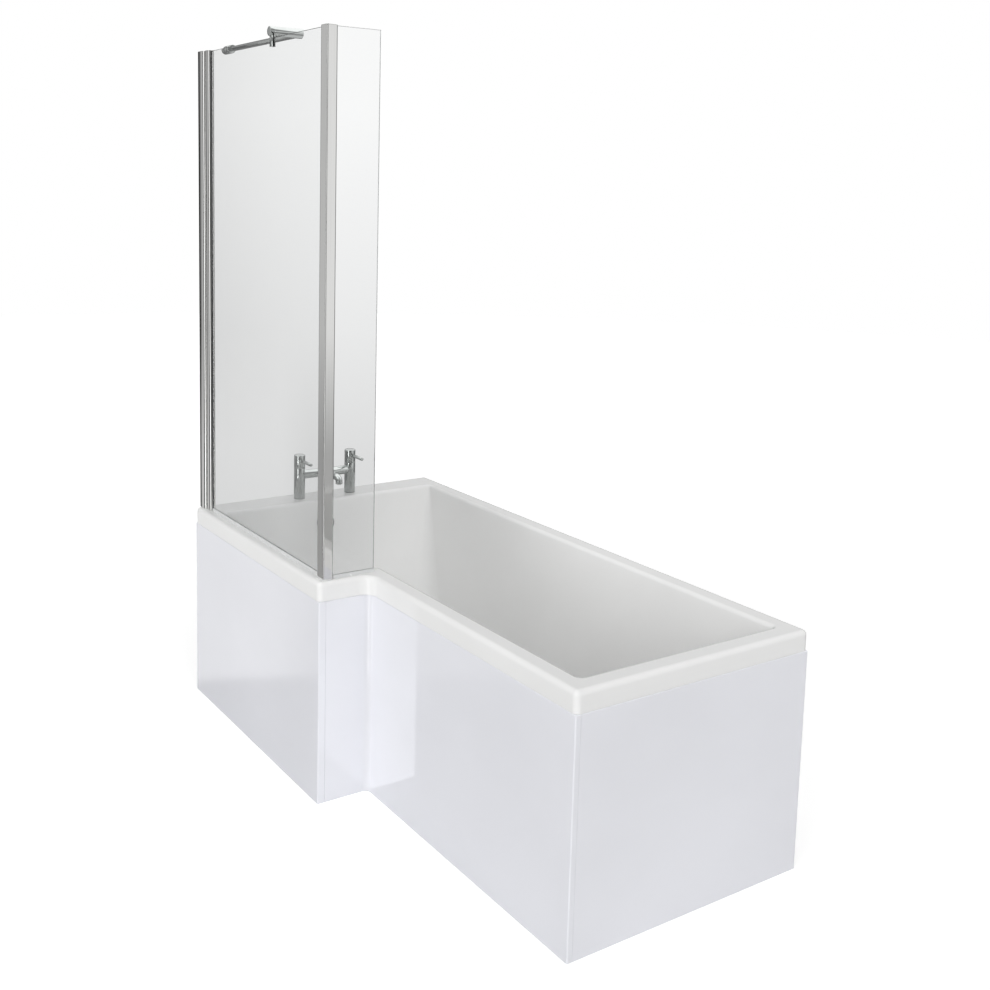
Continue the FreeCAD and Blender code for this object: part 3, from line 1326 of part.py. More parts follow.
fill_sheets()
make_bath_shell()
make_base()
make_legs()
make_front_panel()
make_end_panel()
make_battens()
make_clips()
make_wall_profiles()
make_corner_post()
make_glass()
make_gaskets()
make_seals()
make_support_bar()
make_glass_clamp()
make_tap_sides()
make_tap_middle()
make_waste()
make_overflow()
check_model()
write_parts()
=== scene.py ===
"""L-shaped shower bath: the finishes and fine shapes over its packed CAD frame.

The file is laid out as an add-on and is run as a script. Lengths are metres: +X runs to the
foot end, +Y to the back wall and +Z up. Each operator makes one group of pieces as numpy
surfaces, in the places that the CAD nodes give, and hides the nodes that they stand for.
"""

import math

import bpy
import numpy as np
from bpy.props import FloatProperty, FloatVectorProperty, PointerProperty
from bpy.types import Operator, Panel, PropertyGroup
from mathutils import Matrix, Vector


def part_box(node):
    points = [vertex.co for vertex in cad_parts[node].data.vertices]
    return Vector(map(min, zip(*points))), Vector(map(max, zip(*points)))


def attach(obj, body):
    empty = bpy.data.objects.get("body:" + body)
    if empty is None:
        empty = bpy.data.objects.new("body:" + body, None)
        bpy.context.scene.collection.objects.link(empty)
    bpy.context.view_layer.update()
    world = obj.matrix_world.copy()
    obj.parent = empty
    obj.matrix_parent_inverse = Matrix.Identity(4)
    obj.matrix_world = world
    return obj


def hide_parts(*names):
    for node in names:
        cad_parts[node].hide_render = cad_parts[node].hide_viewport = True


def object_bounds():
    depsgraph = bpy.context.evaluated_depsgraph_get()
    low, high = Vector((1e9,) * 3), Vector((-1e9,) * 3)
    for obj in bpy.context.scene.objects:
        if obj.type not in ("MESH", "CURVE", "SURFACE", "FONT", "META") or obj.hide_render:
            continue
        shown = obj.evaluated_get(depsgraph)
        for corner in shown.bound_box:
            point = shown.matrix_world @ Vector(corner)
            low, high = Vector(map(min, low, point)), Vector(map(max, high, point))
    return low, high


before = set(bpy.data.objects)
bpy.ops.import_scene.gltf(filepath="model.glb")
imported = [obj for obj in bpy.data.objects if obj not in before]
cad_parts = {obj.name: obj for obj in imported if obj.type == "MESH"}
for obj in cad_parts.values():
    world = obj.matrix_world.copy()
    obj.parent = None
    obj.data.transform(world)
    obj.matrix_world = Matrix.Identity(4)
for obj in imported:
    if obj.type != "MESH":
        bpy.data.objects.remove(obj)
cad_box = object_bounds()

bl_info = {
    "name": "L-shaped shower bath",
    "version": (1, 0, 0),
    "blender": (4, 5, 0),
    "location": "3D View > Sidebar > Shower bath",
    "description": "Builds the finishes and fine shapes of an L-shaped shower bath",
    "category": "Object",
}

MM = 0.001
QUARTER_TURN = math.pi / 2
FULL_TURN = 2 * math.pi

# The least rounding of an edge, and the margins beside a bend that keep its flats flat
LEAST_ROUND = 0.15 * MM
FLAT_MARGIN = 1.5 * MM
SECTION_MARGIN = 0.8 * MM

# Swelling fronts of the wall profiles: where a swell stops beside a rounding, and the bends along it
CROWN_MARGIN = 2 * MM
CROWN_BEND = 60 * MM

# How far one solid of a piece runs into the next, and the play round a stud, a tail or a tube
LAP = 0.2 * MM
DEEP_LAP = 1 * MM
FIT = 0.1 * MM

# Points of each rounded corner in plan, the same in every ring of the bath
BATH_CORNER_STEPS = 11

# Ribs of the hose
RIB_STEPS = 6
RIB_DEPTH = 0.5 * MM

# Patterns of the finishes
GRAIN = "ShaderNodeTexNoise"
FLAKES = "ShaderNodeTexVoronoi"


# Sizes and colours that a user may change

def length(name, note, millimetres):
    """A length property, given in millimetres."""
    return FloatProperty(name=name, description=note, default=millimetres * MM, min=0.0,
                         unit="LENGTH", precision=4)


def colour(name, note, red, green, blue):
    """A colour property."""
    return FloatVectorProperty(name=name, description=note, default=(red, green, blue), size=3,
                               subtype="COLOR", min=0.0, max=1.0)


def level(name, note, amount):
    """A plain number, such as a lamp's power."""
    return FloatProperty(name=name, description=note, default=amount, min=0.0)


class BathSizes(PropertyGroup):
    """The moulded bath."""
    acrylic: colour("Acrylic", "Colour of the bath", 0.88, 0.88, 0.875)
    rim_edge: length("Rim edge", "Rounding of the rim's outer top edge", 12)
    lip_round: length("Lip", "Rounding from the rim into the tub", 12)
    floor_round: length("Floor round", "Rounding from the walls into the floor", 40)
    skirt: length("Skirt", "Height of the rim's skirt", 50)
    skirt_edge: length("Skirt edge", "Lower edges of the skirt", 0.9)
    wall: length("Wall", "Thickness of the moulding", 6)
    wide_length: length("Shower end", "Length of the wide shower end", 847)
    step_depth: length("Step", "How far the shower end stands out past the foot end", 150)
    rim_width: length("Rim", "Rim between skirt and tub", 55)
    tap_deck: length("Tap deck", "Rim at the tap end", 110)
    floor_height: length("Tub floor", "Tub floor above the bathroom floor", 190)
    tap_lean: length("Tap-end lean", "Tap-end wall, top to bottom", 60)
    foot_lean: length("Back rest lean", "Sloping back rest, top to bottom", 130)
    side_lean: length("Side lean", "Side walls, top to bottom", 20)
    outer_corner: length("Outer corners", "Rim's outer corners in plan", 14)
    step_corner: length("Step corner", "Rim's inward corner at the step, in plan", 36)
    tub_corner: length("Tub corners", "Tub corners at the rim, in plan", 10)
    tub_step_corner: length("Tub step corner", "Tub's corner at the step, in plan", 24)
    floor_corner: length("Floor corners", "Tub corners at the floor, in plan", 62)
    waste_hole: length("Waste hole", "Radius of the hole in the tub floor", 26)


class PanelSizes(PropertyGroup):
    """The two panels."""
    sheet_colour: colour("Panel", "Colour of the panels", 0.86, 0.867, 0.91)
    sheet: length("Sheet", "Thickness of a panel", 5)
    fold: length("Fold", "Depth of the fold at a panel's top", 24)
    fold_edge: length("Fold edge", "Edges of the fold", 0.5)
    fold_gap: length("Fold gap", "Gap between the folds at the foot-end corner", 0.5)
    recess: length("Recess", "Panel's face behind the rim's face", 0.5)
    joint_place: length("Joint", "Joint round the step's outward corner, from the front", 20)
    joint_width: length("Joint width", "Width of that joint", 0.8)
    joint_depth: length("Joint depth", "Depth of that joint", 1.5)
    joint_lap: length("Joint lap", "Lap of the strip behind that joint", 1)
    outer_corner: length("Outward corner", "Panel's outward corner at the step", 3)
    inner_corner: length("Inward corner", "Panel's inward corner at the step", 18)
    end_corner: length("End corner", "Panel's corner at the foot end", 3)
    side_return: length("Return", "Front panel round the foot-end corner", 14)
    top_edge: length("Top edge", "Rounding of a panel's top edge", 2.5)
    low_edge: length("Low edge", "Rounding of a panel's lower edge", 0.6)


class ScreenSizes(PropertyGroup):
    """The glass screen and its bar."""
    # The glass's base colour is painted light at its top and painted shade at its foot: a gradient of the
    # studio's light baked into the glass, not a real tint
    glass_painted_light_top: colour("Glass, top", "What the glass lets through at its top", 0.99, 0.985, 0.987)
    glass_painted_shade_foot: colour("Glass, foot", "What the glass lets through at its foot", 0.98, 0.975, 0.98)
    glass_depth: colour("Glass, depth", "Tint of long paths in the glass", 0.42, 0.70, 0.62)
    metal: colour("Profiles", "Colour of the bright aluminium", 0.74, 0.74, 0.73)
    gasket: colour("Gaskets", "Colour of the soft gaskets", 0.055, 0.057, 0.06)
    seal: colour("Seals", "Colour of the clear seals", 0.86, 0.87, 0.87)
    arris: length("Arris", "Ground edge of the glass", 0.9)
    post_corner: length("Post corners", "Corner post edges", 2.5)
    post_cap_edge: length("Post cap edge", "Top edge of the post's cap", 0.7)
    post_foot_edge: length("Post foot edge", "Edges of the post's foot", 0.5)
    profile_corner: length("Profile corners", "Rounded edges of the wall profiles", 7)
    profile_crown: length("Profile crown", "Swell of the wall profiles' fronts", 0.6)
    profile_back_corner: length("Profile back", "Glass profile's edges at the channel", 2)
    profile_gap: length("Profile gap", "Gap between the channel and the glass profile", 0.2)
    profile_cap_edge: length("Profile cap edge", "Top edge of the profiles' cap", 0.6)
    channel_edge: length("Channel edges", "Channel's edges at the wall", 0.4)
    seal_wall: length("Seal", "Thickness of the clear seal", 1.6)
    seal_step: length("Seal web", "Seal under the glass edge", 8)
    seal_foot: length("Seal foot", "Lower edges of the seal", 0.5)
    seal_lip: length("Seal lips", "Upper edges of the seal", 0.6)
    seal_hollow: length("Seal hollow", "Inner corners of the seal", 0.2)
    bracket_edge: length("Bracket edge", "Bracket's edge at the wall", 0.4)
    fork_gap: length("Fork", "Width of the bracket's fork", 9)
    fork_depth: length("Fork depth", "Depth of the bracket's fork", 20)
    prong_edge: length("Prong ends", "Eased ends of the prongs and the tongue", 0.5)
    collar_gap: length("Collar gap", "Play between the bracket and the rod's end", 0.5)
    collar_edge: length("Collar edge", "Edge of the rod's end at the bracket", 0.6)
    bar_edge: length("Bar edges", "Edges of the rod's end and the clamp's barrel", 1.2)
    barrel_joint: length("Barrel joint", "Joint of the barrel's end cap, from its end", 12)
    barrel_cut: length("Barrel cut", "Depth of that joint", 0.5)
    clamp_pin: length("Clamp pin", "Radius of the clamp's slotted pin", 9.5)
    clamp_pad: length("Clamp pads", "Soft pads between clamp and glass", 1)


class FittingSizes(PropertyGroup):
    """The tap, the waste and the overflow."""
    chrome: colour("Chrome", "Colour of the chrome plate", 0.50, 0.52, 0.51)
    brass: colour("Brass", "Colour of the machined brass", 0.70, 0.55, 0.28)
    pipe: colour("Pipe", "Colour of the waste pipes", 0.78, 0.78, 0.77)
    rubber: colour("Rubber", "Colour of the washers and seals", 0.022, 0.022, 0.023)
    aerator: colour("Aerator", "Colour of the aerator", 0.72, 0.72, 0.70)
    pillar_edge: length("Pillar edge", "Edges of the tap pillars", 0.7)
    handle_edge: length("Handle edge", "Top edge of the handles", 1.5)
    handle_foot: length("Handle foot", "Lower edge of the handles", 0.5)
    lever_tip: length("Lever tip", "Rounding of the lever tips", 1.6)
    bridge_inset: length("Bridge inset", "Bridge's ends in from the pillars' middles", 4)
    spout_start: length("Spout start", "Spout's start past the bridge's middle", 5)
    spout_bend: length("Spout bend", "Bend of the spout", 14)
    spout_wall: length("Spout wall", "Wall of the spout", 2)
    aerator_wall: length("Aerator wall", "Wall of the aerator", 2.9)
    aerator_edge: length("Aerator edge", "Edges of the aerator", 0.5)
    thread: length("Tail thread", "Pitch of the tails' thread", 1.8)
    thread_depth: length("Thread depth", "Depth of the tails' thread", 0.7)
    waste_bore: length("Waste bore", "Radius of the waste's bore", 20.5)
    waste_tube: length("Waste tube", "Radius of the waste's tube", 24)
    flange_rim: length("Flange rim", "Rim of the flange round the plug", 3)
    guide_top: length("Guide top", "Stem guide's top below the tub floor", 16)
    guide_foot: length("Guide foot", "Stem guide's foot below the tub floor", 28)
    guide_bore: length("Guide bore", "Radius of the stem guide's bore", 4.05)
    guide_hub: length("Guide hub", "Radius of the stem guide's hub", 8)
    guide_root: length("Guide root", "Where the guide's arms start in its hub", 7)
    guide_arm: length("Guide arms", "Half the width of the guide's arms", 2.5)
    guide_lap: length("Guide lap", "How far the guide's arms run into the tube", 0.5)
    guide_edge: length("Guide edges", "Edges of the stem guide", 0.4)
    plug_recess: length("Plug recess", "Depth of the recess for the plug", 2)
    plug_edge: length("Plug edge", "Lower edge of the plug", 0.6)
    plug_shoulder: length("Plug shoulder", "Plug's shoulder below its top", 3.4)
    plug_fall: length("Plug fall", "Fall of the plug's dome towards its edge", 2.5)
    plug_swell: length("Plug swell", "Swell of the plug's dome about its middle", 0.4)
    plug_flat: length("Plug flat", "What is cut off the top of that swell", 0.04)
    pot_outlet: length("Pot outlet", "Radius of the outlet under the waste's pot", 17.5)
    pot_taper: length("Pot taper", "How far the pot draws in at its foot", 6)
    pot_ledge: length("Pot ledge", "Height of the pot's foot", 13)
    pot_edge: length("Pot edges", "Edges of the pot", 1.2)
    stub: length("Hose stub", "Radius of the pot's stub for the hose", 8.9)
    stub_lap: length("Stub lap", "How far the stub runs into the pot", 2)
    stub_edge: length("Stub edge", "Edge of the stub's end", 0.6)
    trap_bend: length("Trap bends", "Bends of the trap", 32)
    trap_wall: length("Trap wall", "Wall of the trap", 2.5)
    trap_rise: length("Trap rise", "Trap's outlet above its lowest run", 62)
    trap_reach: length("Trap reach", "Trap's rising run from the waste's middle", 72)
    trap_outlet_bend: length("Outlet bend", "Trap's bend into its outlet", 24)
    hose_bend: length("Hose bend", "Bend of the overflow hose", 76)
    hose_rib: length("Hose ribs", "Pitch of the overflow hose's ribs", 5)
    hose_wall: length("Hose wall", "Wall of the overflow hose", 2)


class UnderSizes(PropertyGroup):
    """The board, legs and feet."""
    steel: colour("Zinc plate", "Colour of the zinc-plated steel", 0.56, 0.57, 0.59)
    foot: colour("Feet", "Colour of the moulded feet", 0.03, 0.03, 0.032)
    board: colour("Board", "Colour of the chipboard", 0.56, 0.42, 0.26)
    batten: colour("Battens", "Colour of the sawn softwood", 0.66, 0.48, 0.28)
    overhang: length("Overhang", "Legs from the ends of their rails", 22)
    rail_wall: length("Rail", "Thickness of a rail's sheet", 2)
    stud: length("Stud", "Radius of a stud", 5)
    thread: length("Stud thread", "Pitch of the studs' thread", 1.5)
    thread_depth: length("Thread depth", "Depth of the studs' thread", 0.6)
    nut_across: length("Nut corners", "Radius of a nut at its corners", 9.8)
    nut_height: length("Nut", "Height of a nut", 8)
    foot_radius: length("Foot", "Radius of a foot's pad", 24)
    foot_pad: length("Foot pad", "Height of a foot's pad", 9)
    foot_boss: length("Foot socket", "Radius of a foot's socket", 11)
    foot_flare: length("Socket flare", "Rise of the flare under a foot's socket", 1)
    foot_bore: length("Socket bore", "Radius of a foot's bore", 5.2)


class StageSizes(PropertyGroup):
    """The floor and lights."""
    floor: colour("Floor", "Colour of the studio floor", 0.80, 0.80, 0.80)
    dome: level("Dome", "Strength of the soft light all round", 0.38)
    floor_glow: level("Floor glow", "What the camera sees the floor give besides", 0.50)
    front_key: level("Front key", "Strength of the low soft light before the bath", 2.85)
    end_key: level("End key", "Strength of the high soft light past the foot end", 2.35)
    back_key: level("Back key", "Strength of the low soft light behind the bath", 0.7)
    mirrored: level("Mirrored room", "Strength of the pale and dark walls that metal mirrors", 1.0)


# Lines and grids

def eased_line(corners, rounds, steps=7, closed=False, margin=FLAT_MARGIN):
    """A line of straight runs with eased corners: its points and the unit ways along it.

    At a corner p with unit ways in a and out b that turn by the angle q, the easing is
    p - a k (1 - sin t) + b k (1 - cos t), where k = r tan(q / 2) and t runs over a quarter
    turn. Each run has a point near each of its ends, so that flats stay flat beside a bend.
    """
    corners = np.asarray(corners, float)
    rounds = np.broadcast_to(np.asarray(rounds, float), len(corners))
    runs = np.roll(corners, -1, axis=0) - corners
    if not closed:
        runs = runs[:-1]
    ways = runs / np.linalg.norm(runs, axis=1, keepdims=True)
    if closed:
        turning, way_in, way_out = corners, np.roll(ways, 1, axis=0), ways
    else:
        turning, way_in, way_out = corners[1:-1], ways[:-1], ways[1:]
        rounds = rounds[1:-1]
    angle = np.arccos(np.clip((way_in * way_out).sum(1), -1, 1))
    reach = (rounds * np.tan(angle / 2))[:, None, None]
    t = np.linspace(0, QUARTER_TURN, steps)[None, :, None]
    a, b = way_in[:, None], way_out[:, None]
    bends = turning[:, None] - a * reach * (1 - np.sin(t)) + b * reach * (1 - np.cos(t))
    bend_ways = a * np.cos(t) + b * np.sin(t)
    if closed:
        start, end = bends[:, -1], np.roll(bends[:, 0], -1, axis=0)
    else:
        start = np.concatenate([corners[:1], bends[:, -1]])
        end = np.concatenate([bends[:, 0], corners[-1:]])
    gap = np.linalg.norm(end - start, axis=1)
    share = np.minimum(margin / np.maximum(gap, 1e-9), 0.3)[:, None]
    share = np.concatenate([share, 1 - share], axis=1)[..., None]
    flats = start[:, None] + (end - start)[:, None] * share
    flat_ways = np.repeat(ways[:, None], 2, axis=1)
    size = corners.shape[1]
    if closed:
        points = np.concatenate([bends, flats], axis=1).reshape(-1, size)
        along = np.concatenate([bend_ways, flat_ways], axis=1).reshape(-1, size)
    else:
        body = np.concatenate([bends, flats[1:]], axis=1).reshape(-1, size)
        body_ways = np.concatenate([bend_ways, flat_ways[1:]], axis=1).reshape(-1, size)
        points = np.concatenate([corners[:1], flats[0], body, corners[-1:]])
        along = np.concatenate([ways[:1], flat_ways[0], body_ways, ways[-1:]])
    return points, along / np.linalg.norm(along, axis=1, keepdims=True)


def moved_in(corners, rounds, inward, closed=True):
    """An outline moved to its left, each corner along its mitre: outward corners lose the move's
    distance from their rounding, and hollow corners gain it."""
    corners = np.asarray(corners, float)
    rounds = np.broadcast_to(np.asarray(rounds, float), len(corners))
    runs = np.roll(corners, -1, axis=0) - corners
    ways = runs / np.linalg.norm(runs, axis=1, keepdims=True)
    before = np.roll(ways, 1, axis=0)
    if not closed:
        ways[-1] = 0
        before[0] = 0
    both = ways + before
    mitre = 1 + (ways * before).sum(axis=1, keepdims=True)
    shift = np.stack([-both[:, 1], both[:, 0]], axis=1) / mitre
    turn = np.sign(before[:, 0] * ways[:, 1] - before[:, 1] * ways[:, 0])
    return corners + inward * shift, np.maximum(rounds - inward * turn, LEAST_ROUND)


def eased_section(corners, rounds, steps=5):
    """A closed section with eased corners, as points."""
    return eased_line(corners, np.maximum(rounds, LEAST_ROUND), steps, True, SECTION_MARGIN)[0]


def quarter(rounding, steps=5):
    """Fractions of a quarter round: how far in and how far down, for each step."""
    t = np.linspace(0, QUARTER_TURN, steps)
    return rounding * (1 - np.sin(t)), rounding * (1 - np.cos(t))


def ring_at(points, height):
    """Plan points lifted to a height."""
    return np.column_stack([points, np.broadcast_to(height, len(points))])


def upright(corners, rounds, low, high, edge, steps=4, top_edge=None):
    """A plan outline carried from low to high, drawn in by a quarter round at both ends.

    Ring i is the outline moved in by edge (1 - sin t) at the height low + edge (1 - cos t),
    and the same from the top.
    """
    top_edge = edge if top_edge is None else top_edge
    inward, drop = quarter(edge, steps)
    inward_top, drop_top = quarter(top_edge, steps)
    section = np.concatenate([
        np.column_stack([inward, low + drop]),
        np.column_stack([inward_top, high - drop_top])[::-1],
    ])
    rings = [
        ring_at(eased_line(*moved_in(corners, rounds, step), 5, True)[0], height)
        for step, height in section
    ]
    return np.stack(rings), False, True


def rectangle(low, high):
    """Corners of a plan rectangle, anticlockwise from its low corner."""
    return [(low[0], low[1]), (high[0], low[1]), (high[0], high[1]), (low[0], high[1])]


def crowned(corners, rounds, crown, steps=7):
    """A plan rectangle whose first side swells: between its end roundings that side follows
    y = front + crown (2 s - 1)^2, where s goes from 0 to 1 along it. Gives corners and roundings."""
    (left, front), (right, _), *rear = corners
    ends = np.array([left + rounds[0] + CROWN_MARGIN, right - rounds[1] - CROWN_MARGIN])
    s = np.linspace(*((ends - left) / (right - left)), steps)
    swell = np.column_stack([left + (right - left) * s, front + crown * (2 * s - 1) ** 2])
    side = [(left, front + crown), *swell.tolist(), (right, front + crown)]
    return side + rear, [rounds[0], *[CROWN_BEND] * steps, *rounds[1:]]


def turned(section, foot, axis=(0, 0, 1), columns=48, joined=False, shape=None):
    """A surface of revolution: foot + axis h + r (e cos a + f sin a) for each section point
    (r, h) and angle a. A shape function may change the radius by height and angle."""
    section = np.asarray(section, float)
    axis = np.asarray(axis, float) / np.linalg.norm(axis)
    start = np.array([1.0, 0, 0]) if abs(axis[0]) < 0.9 else np.array([0, 1.0, 0])
    across = start - axis * (start @ axis)
    across /= np.linalg.norm(across)
    other = np.cross(axis, across)
    angle = np.linspace(0, FULL_TURN, columns, endpoint=False)[None, :]
    radius = np.repeat(section[:, :1], columns, axis=1)
    rise = section[:, 1:2]
    if shape is not None:
        radius = shape(radius, rise, angle)
    spokes = across * np.cos(angle)[..., None] + other * np.sin(angle)[..., None]
    return np.asarray(foot, float) + axis * rise[..., None] + radius[..., None] * spokes, joined, True


def rod_section(radius, low, high, low_edge, high_edge, steps=5):
    """Half section of a solid rod with eased ends, its ends closed by flat caps."""
    inward, drop = quarter(low_edge, steps)
    start = np.column_stack([radius - inward, low + drop])
    inward, drop = quarter(high_edge, steps)
    end = np.column_stack([radius - inward, high - drop])[::-1]
    inner = radius * 0.6
    return np.concatenate([[(inner, low)], start, end, [(inner, high)]])


def carried(section, way, low, high):
    """A closed section carried straight along x, y or z from low to high."""
    section = np.asarray(section, float)
    rings = []
    for place in (low, high):
        columns = [section[:, 0], section[:, 1]]
        columns.insert("xyz".index(way), np.full(len(section), place))
        rings.append(np.column_stack(columns))
    return np.stack(rings), False, True


def pipe(corners, rounds, y, radius, bore, columns=40, steps=14, rib=None):
    """A pipe on a flat route in the XZ plane: each route point p with way w carries the circle
    p + r (n cos a + y sin a), n being w turned a quarter. The bore runs back the same way."""
    route, ways = eased_line(corners, rounds, steps, False)
    if rib:
        route, ways = even_route(route, rib / RIB_STEPS)
    normal = np.stack([-ways[:, 1], ways[:, 0]], axis=1)
    angle = np.linspace(0, FULL_TURN, columns, endpoint=False)[None, :]
    outer = np.full(len(route), radius)
    if rib:
        done = np.arange(len(route)) / RIB_STEPS
        outer = radius - RIB_DEPTH * (0.5 - 0.5 * np.cos(FULL_TURN * done))
    reach = np.concatenate([outer, np.full(len(route), bore)])[:, None]
    order = np.concatenate([np.arange(len(route)), np.arange(len(route))[::-1]])
    x = route[order, :1] + reach * np.cos(angle) * normal[order, :1]
    z = route[order, 1:] + reach * np.cos(angle) * normal[order, 1:]
    side = y + reach * np.sin(angle)
    return np.stack([x, side, z], axis=-1), True, True


def even_route(route, step):
    """A route's points set at even steps along it, with the ways between them."""
    gaps = np.linalg.norm(np.diff(route, axis=0), axis=1)
    done = np.concatenate([[0], np.cumsum(gaps)])
    count = max(int(done[-1] / step), 4)
    at = np.linspace(0, done[-1], count)
    even = np.stack([np.interp(at, done, route[:, i]) for i in range(2)], axis=1)
    ways = np.gradient(even, axis=0)
    return even, ways / np.linalg.norm(ways, axis=1, keepdims=True)


def hexagon(across):
    """Radius by angle of a hexagon with corners at every sixth of a turn, with its ends
    turned off at a slant: the lesser of the flat's distance and the section's."""
    flat = across * math.cos(math.pi / 6)

    def shape(radius, rise, angle):
        sixth = np.mod(angle, math.pi / 3) - math.pi / 6
        side = flat / np.cos(sixth)
        return np.where(radius < across * 0.9, radius, np.minimum(side, radius))

    return shape


def nut_section(across, bore, low, high):
    """Half section of a nut before its flats are cut: a ring with both outer ends turned off."""
    slant, ease = across * 0.07, 0.4 * MM
    end, wide = across * 0.91, across * 1.01
    outer = [(end, low), (wide, low + slant), (wide, high - slant), (end, high)]
    inner = [(bore + ease, high), (bore, high - ease), (bore, low + ease), (bore + ease, low)]
    return np.array(outer + inner)


def thread_wall(radius, low, high, pitch, rows):
    """Half section of a threaded wall, with so many rows to each turn of the thread."""
    rise = np.linspace(low, high, int((high - low) / pitch * rows))
    return np.column_stack([np.full(len(rise), radius), rise])


def threaded(radius, pitch, depth):
    """Radius of a thread by height h and angle a: r - depth (1 - cos(2 pi h / pitch - a)) / 2 on
    the outer wall. A bore stays plain."""
    def shape(reach, height, angle):
        wave = 0.5 - 0.5 * np.cos(FULL_TURN * height / pitch - angle)
        return np.where(reach > radius * 0.9, reach - depth * wave, reach)

    return shape


# Meshes

def grid_faces(rows, columns, rows_joined, columns_joined):
    """Four-sided faces of a grid, and a flat cap on each open end of a tube."""
    i = np.arange(rows if rows_joined else rows - 1)[:, None]
    j = np.arange(columns if columns_joined else columns - 1)[None, :]
    below, beside = (i + 1) % rows, (j + 1) % columns
    quads = np.stack([
        i * columns + j,
        i * columns + beside,
        below * columns + beside,
        below * columns + j,
    ], axis=-1).reshape(-1, 4)
    caps = []
    if columns_joined and not rows_joined:
        first = np.arange(columns)
        caps = [first[::-1], first + (rows - 1) * columns]
    if rows_joined and not columns_joined:
        first = np.arange(rows) * columns
        caps = [first, (first + columns - 1)[::-1]]
    return quads, caps


def fan_volume(points, face):
    """Six times the volume between a face, cut into a fan, and the origin."""
    corners = points[face]
    return np.einsum("ij,ij->", corners[:1].repeat(len(corners) - 2, axis=0),
                     np.cross(corners[1:-1], corners[2:]))


def grid_parts(grid):
    """A grid's points and faces, with the faces turned outwards."""
    points, rows_joined, columns_joined = grid
    rows, columns = points.shape[:2]
    flat = points.reshape(-1, 3)
    quads, caps = grid_faces(rows, columns, rows_joined, columns_joined)
    middle = flat.mean(axis=0)
    local = flat - middle
    a, b, c, d = (local[quads[:, k]] for k in range(4))
    volume = np.einsum("ij,ij->", a, np.cross(b, c)) + np.einsum("ij,ij->", a, np.cross(c, d))
    volume += sum(fan_volume(local, cap) for cap in caps)
    faces = quads.tolist() + [cap.tolist() for cap in caps]
    if volume < 0:
        faces = [face[::-1] for face in faces]
    return flat, faces


def add_piece(name, grids, finish, slot, body, *nodes, sharp=38):
    """Makes one mesh of the grids, gives it its finish and body, and hides what it replaces."""
    points, faces, count = [], [], 0
    for grid in grids:
        flat, own = grid_parts(grid)
        points.append(flat)
        faces += [[index + count for index in face] for face in own]
        count += len(flat)
    mesh = bpy.data.meshes.new(name)
    mesh.from_pydata(np.concatenate(points), [], faces)
    if mesh.validate():
        raise RuntimeError(f"{name} has faulty faces")
    mesh.shade_smooth()
    mesh.set_sharp_from_angle(angle=math.radians(sharp))
    mesh.materials.append(finish)
    piece = bpy.data.objects.new(name, mesh)
    bpy.context.scene.collection.objects.link(piece)
    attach(piece, body)
    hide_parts(*nodes)


def dress(finish, *nodes):
    """Gives carried-over CAD nodes a finish."""
    for name in nodes:
        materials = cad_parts[name].data.materials
        materials.clear()
        materials.append(finish)


def span(node):
    """A node's lowest and highest corners, and its middle."""
    low, high = (np.array(corner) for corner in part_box(node))
    return low, high, (low + high) / 2


def node_upright(node, rounds, edge=LEAST_ROUND, steps=2, top_edge=None, outline=None):
    """A plan outline, or else the node's own rectangle, carried over the node's height."""
    low, high = span(node)[:2]
    corners = rectangle(low, high) if outline is None else outline
    return upright(corners, rounds, low[2], high[2], edge, steps, top_edge)


def at_floor(place):
    """The floor point under a place."""
    return place[0], place[1], 0


# Finishes

def shade(tint, amount):
    """A colour with its brightness changed."""
    return tuple(min(part * amount, 1.0) for part in tint) + (1.0,)


def new_surface(name, sockets):
    """An empty material with a shader, its fixed sockets set, and Object coordinates."""
    finish = bpy.data.materials.new(name)
    finish.use_nodes = True
    tree = finish.node_tree
    tree.nodes.clear()
    output = tree.nodes.new("ShaderNodeOutputMaterial")
    shader = tree.nodes.new("ShaderNodeBsdfPrincipled")
    for socket, value in sockets.items():
        shader.inputs[socket].default_value = value
    tree.links.new(shader.outputs["BSDF"], output.inputs["Surface"])
    coordinates = tree.nodes.new("ShaderNodeTexCoord")
    return finish, tree, shader, coordinates.outputs["Object"]


def pattern_on(tree, place, kind, scale, detail=3.0):
    """A texture node on stretched Object coordinates; gives its 0 to 1 output."""
    mapping = tree.nodes.new("ShaderNodeMapping")
    mapping.inputs["Scale"].default_value = scale
    tree.links.new(place, mapping.inputs["Vector"])
    texture = tree.nodes.new(kind)
    tree.links.new(mapping.outputs["Vector"], texture.inputs["Vector"])
    texture.inputs["Scale"].default_value = 1.0
    if kind == FLAKES:
        grey = tree.nodes.new("ShaderNodeSeparateColor")
        tree.links.new(texture.outputs["Color"], grey.inputs["Color"])
        return grey.outputs["Red"]
    texture.inputs["Detail"].default_value = detail
    return texture.outputs["Fac"]


def ramp(tree, fac, stops):
    """A colour ramp over an output, from (place, colour) stops."""
    node = tree.nodes.new("ShaderNodeValToRGB")
    band = node.color_ramp
    while len(band.elements) < len(stops):
        band.elements.new(0.5)
    for element, (place, tint) in zip(band.elements, stops):
        element.position = place
        element.color = tint
    tree.links.new(fac, node.inputs["Fac"])
    return node.outputs["Color"]


def remap(tree, value, start, end, low=0.0, high=1.0, smooth=False):
    """An output carried over from the range start to end to the range low to high."""
    node = tree.nodes.new("ShaderNodeMapRange")
    if smooth:
        node.interpolation_type = "SMOOTHSTEP"
    node.inputs["From Min"].default_value = start
    node.inputs["From Max"].default_value = end
    node.inputs["To Min"].default_value = low
    node.inputs["To Max"].default_value = high
    tree.links.new(value, node.inputs["Value"])
    return node.outputs["Result"]


def height_of(tree, place):
    """The Z part of a coordinate output."""
    parts = tree.nodes.new("ShaderNodeSeparateXYZ")
    tree.links.new(place, parts.inputs["Vector"])
    return parts.outputs["Z"]


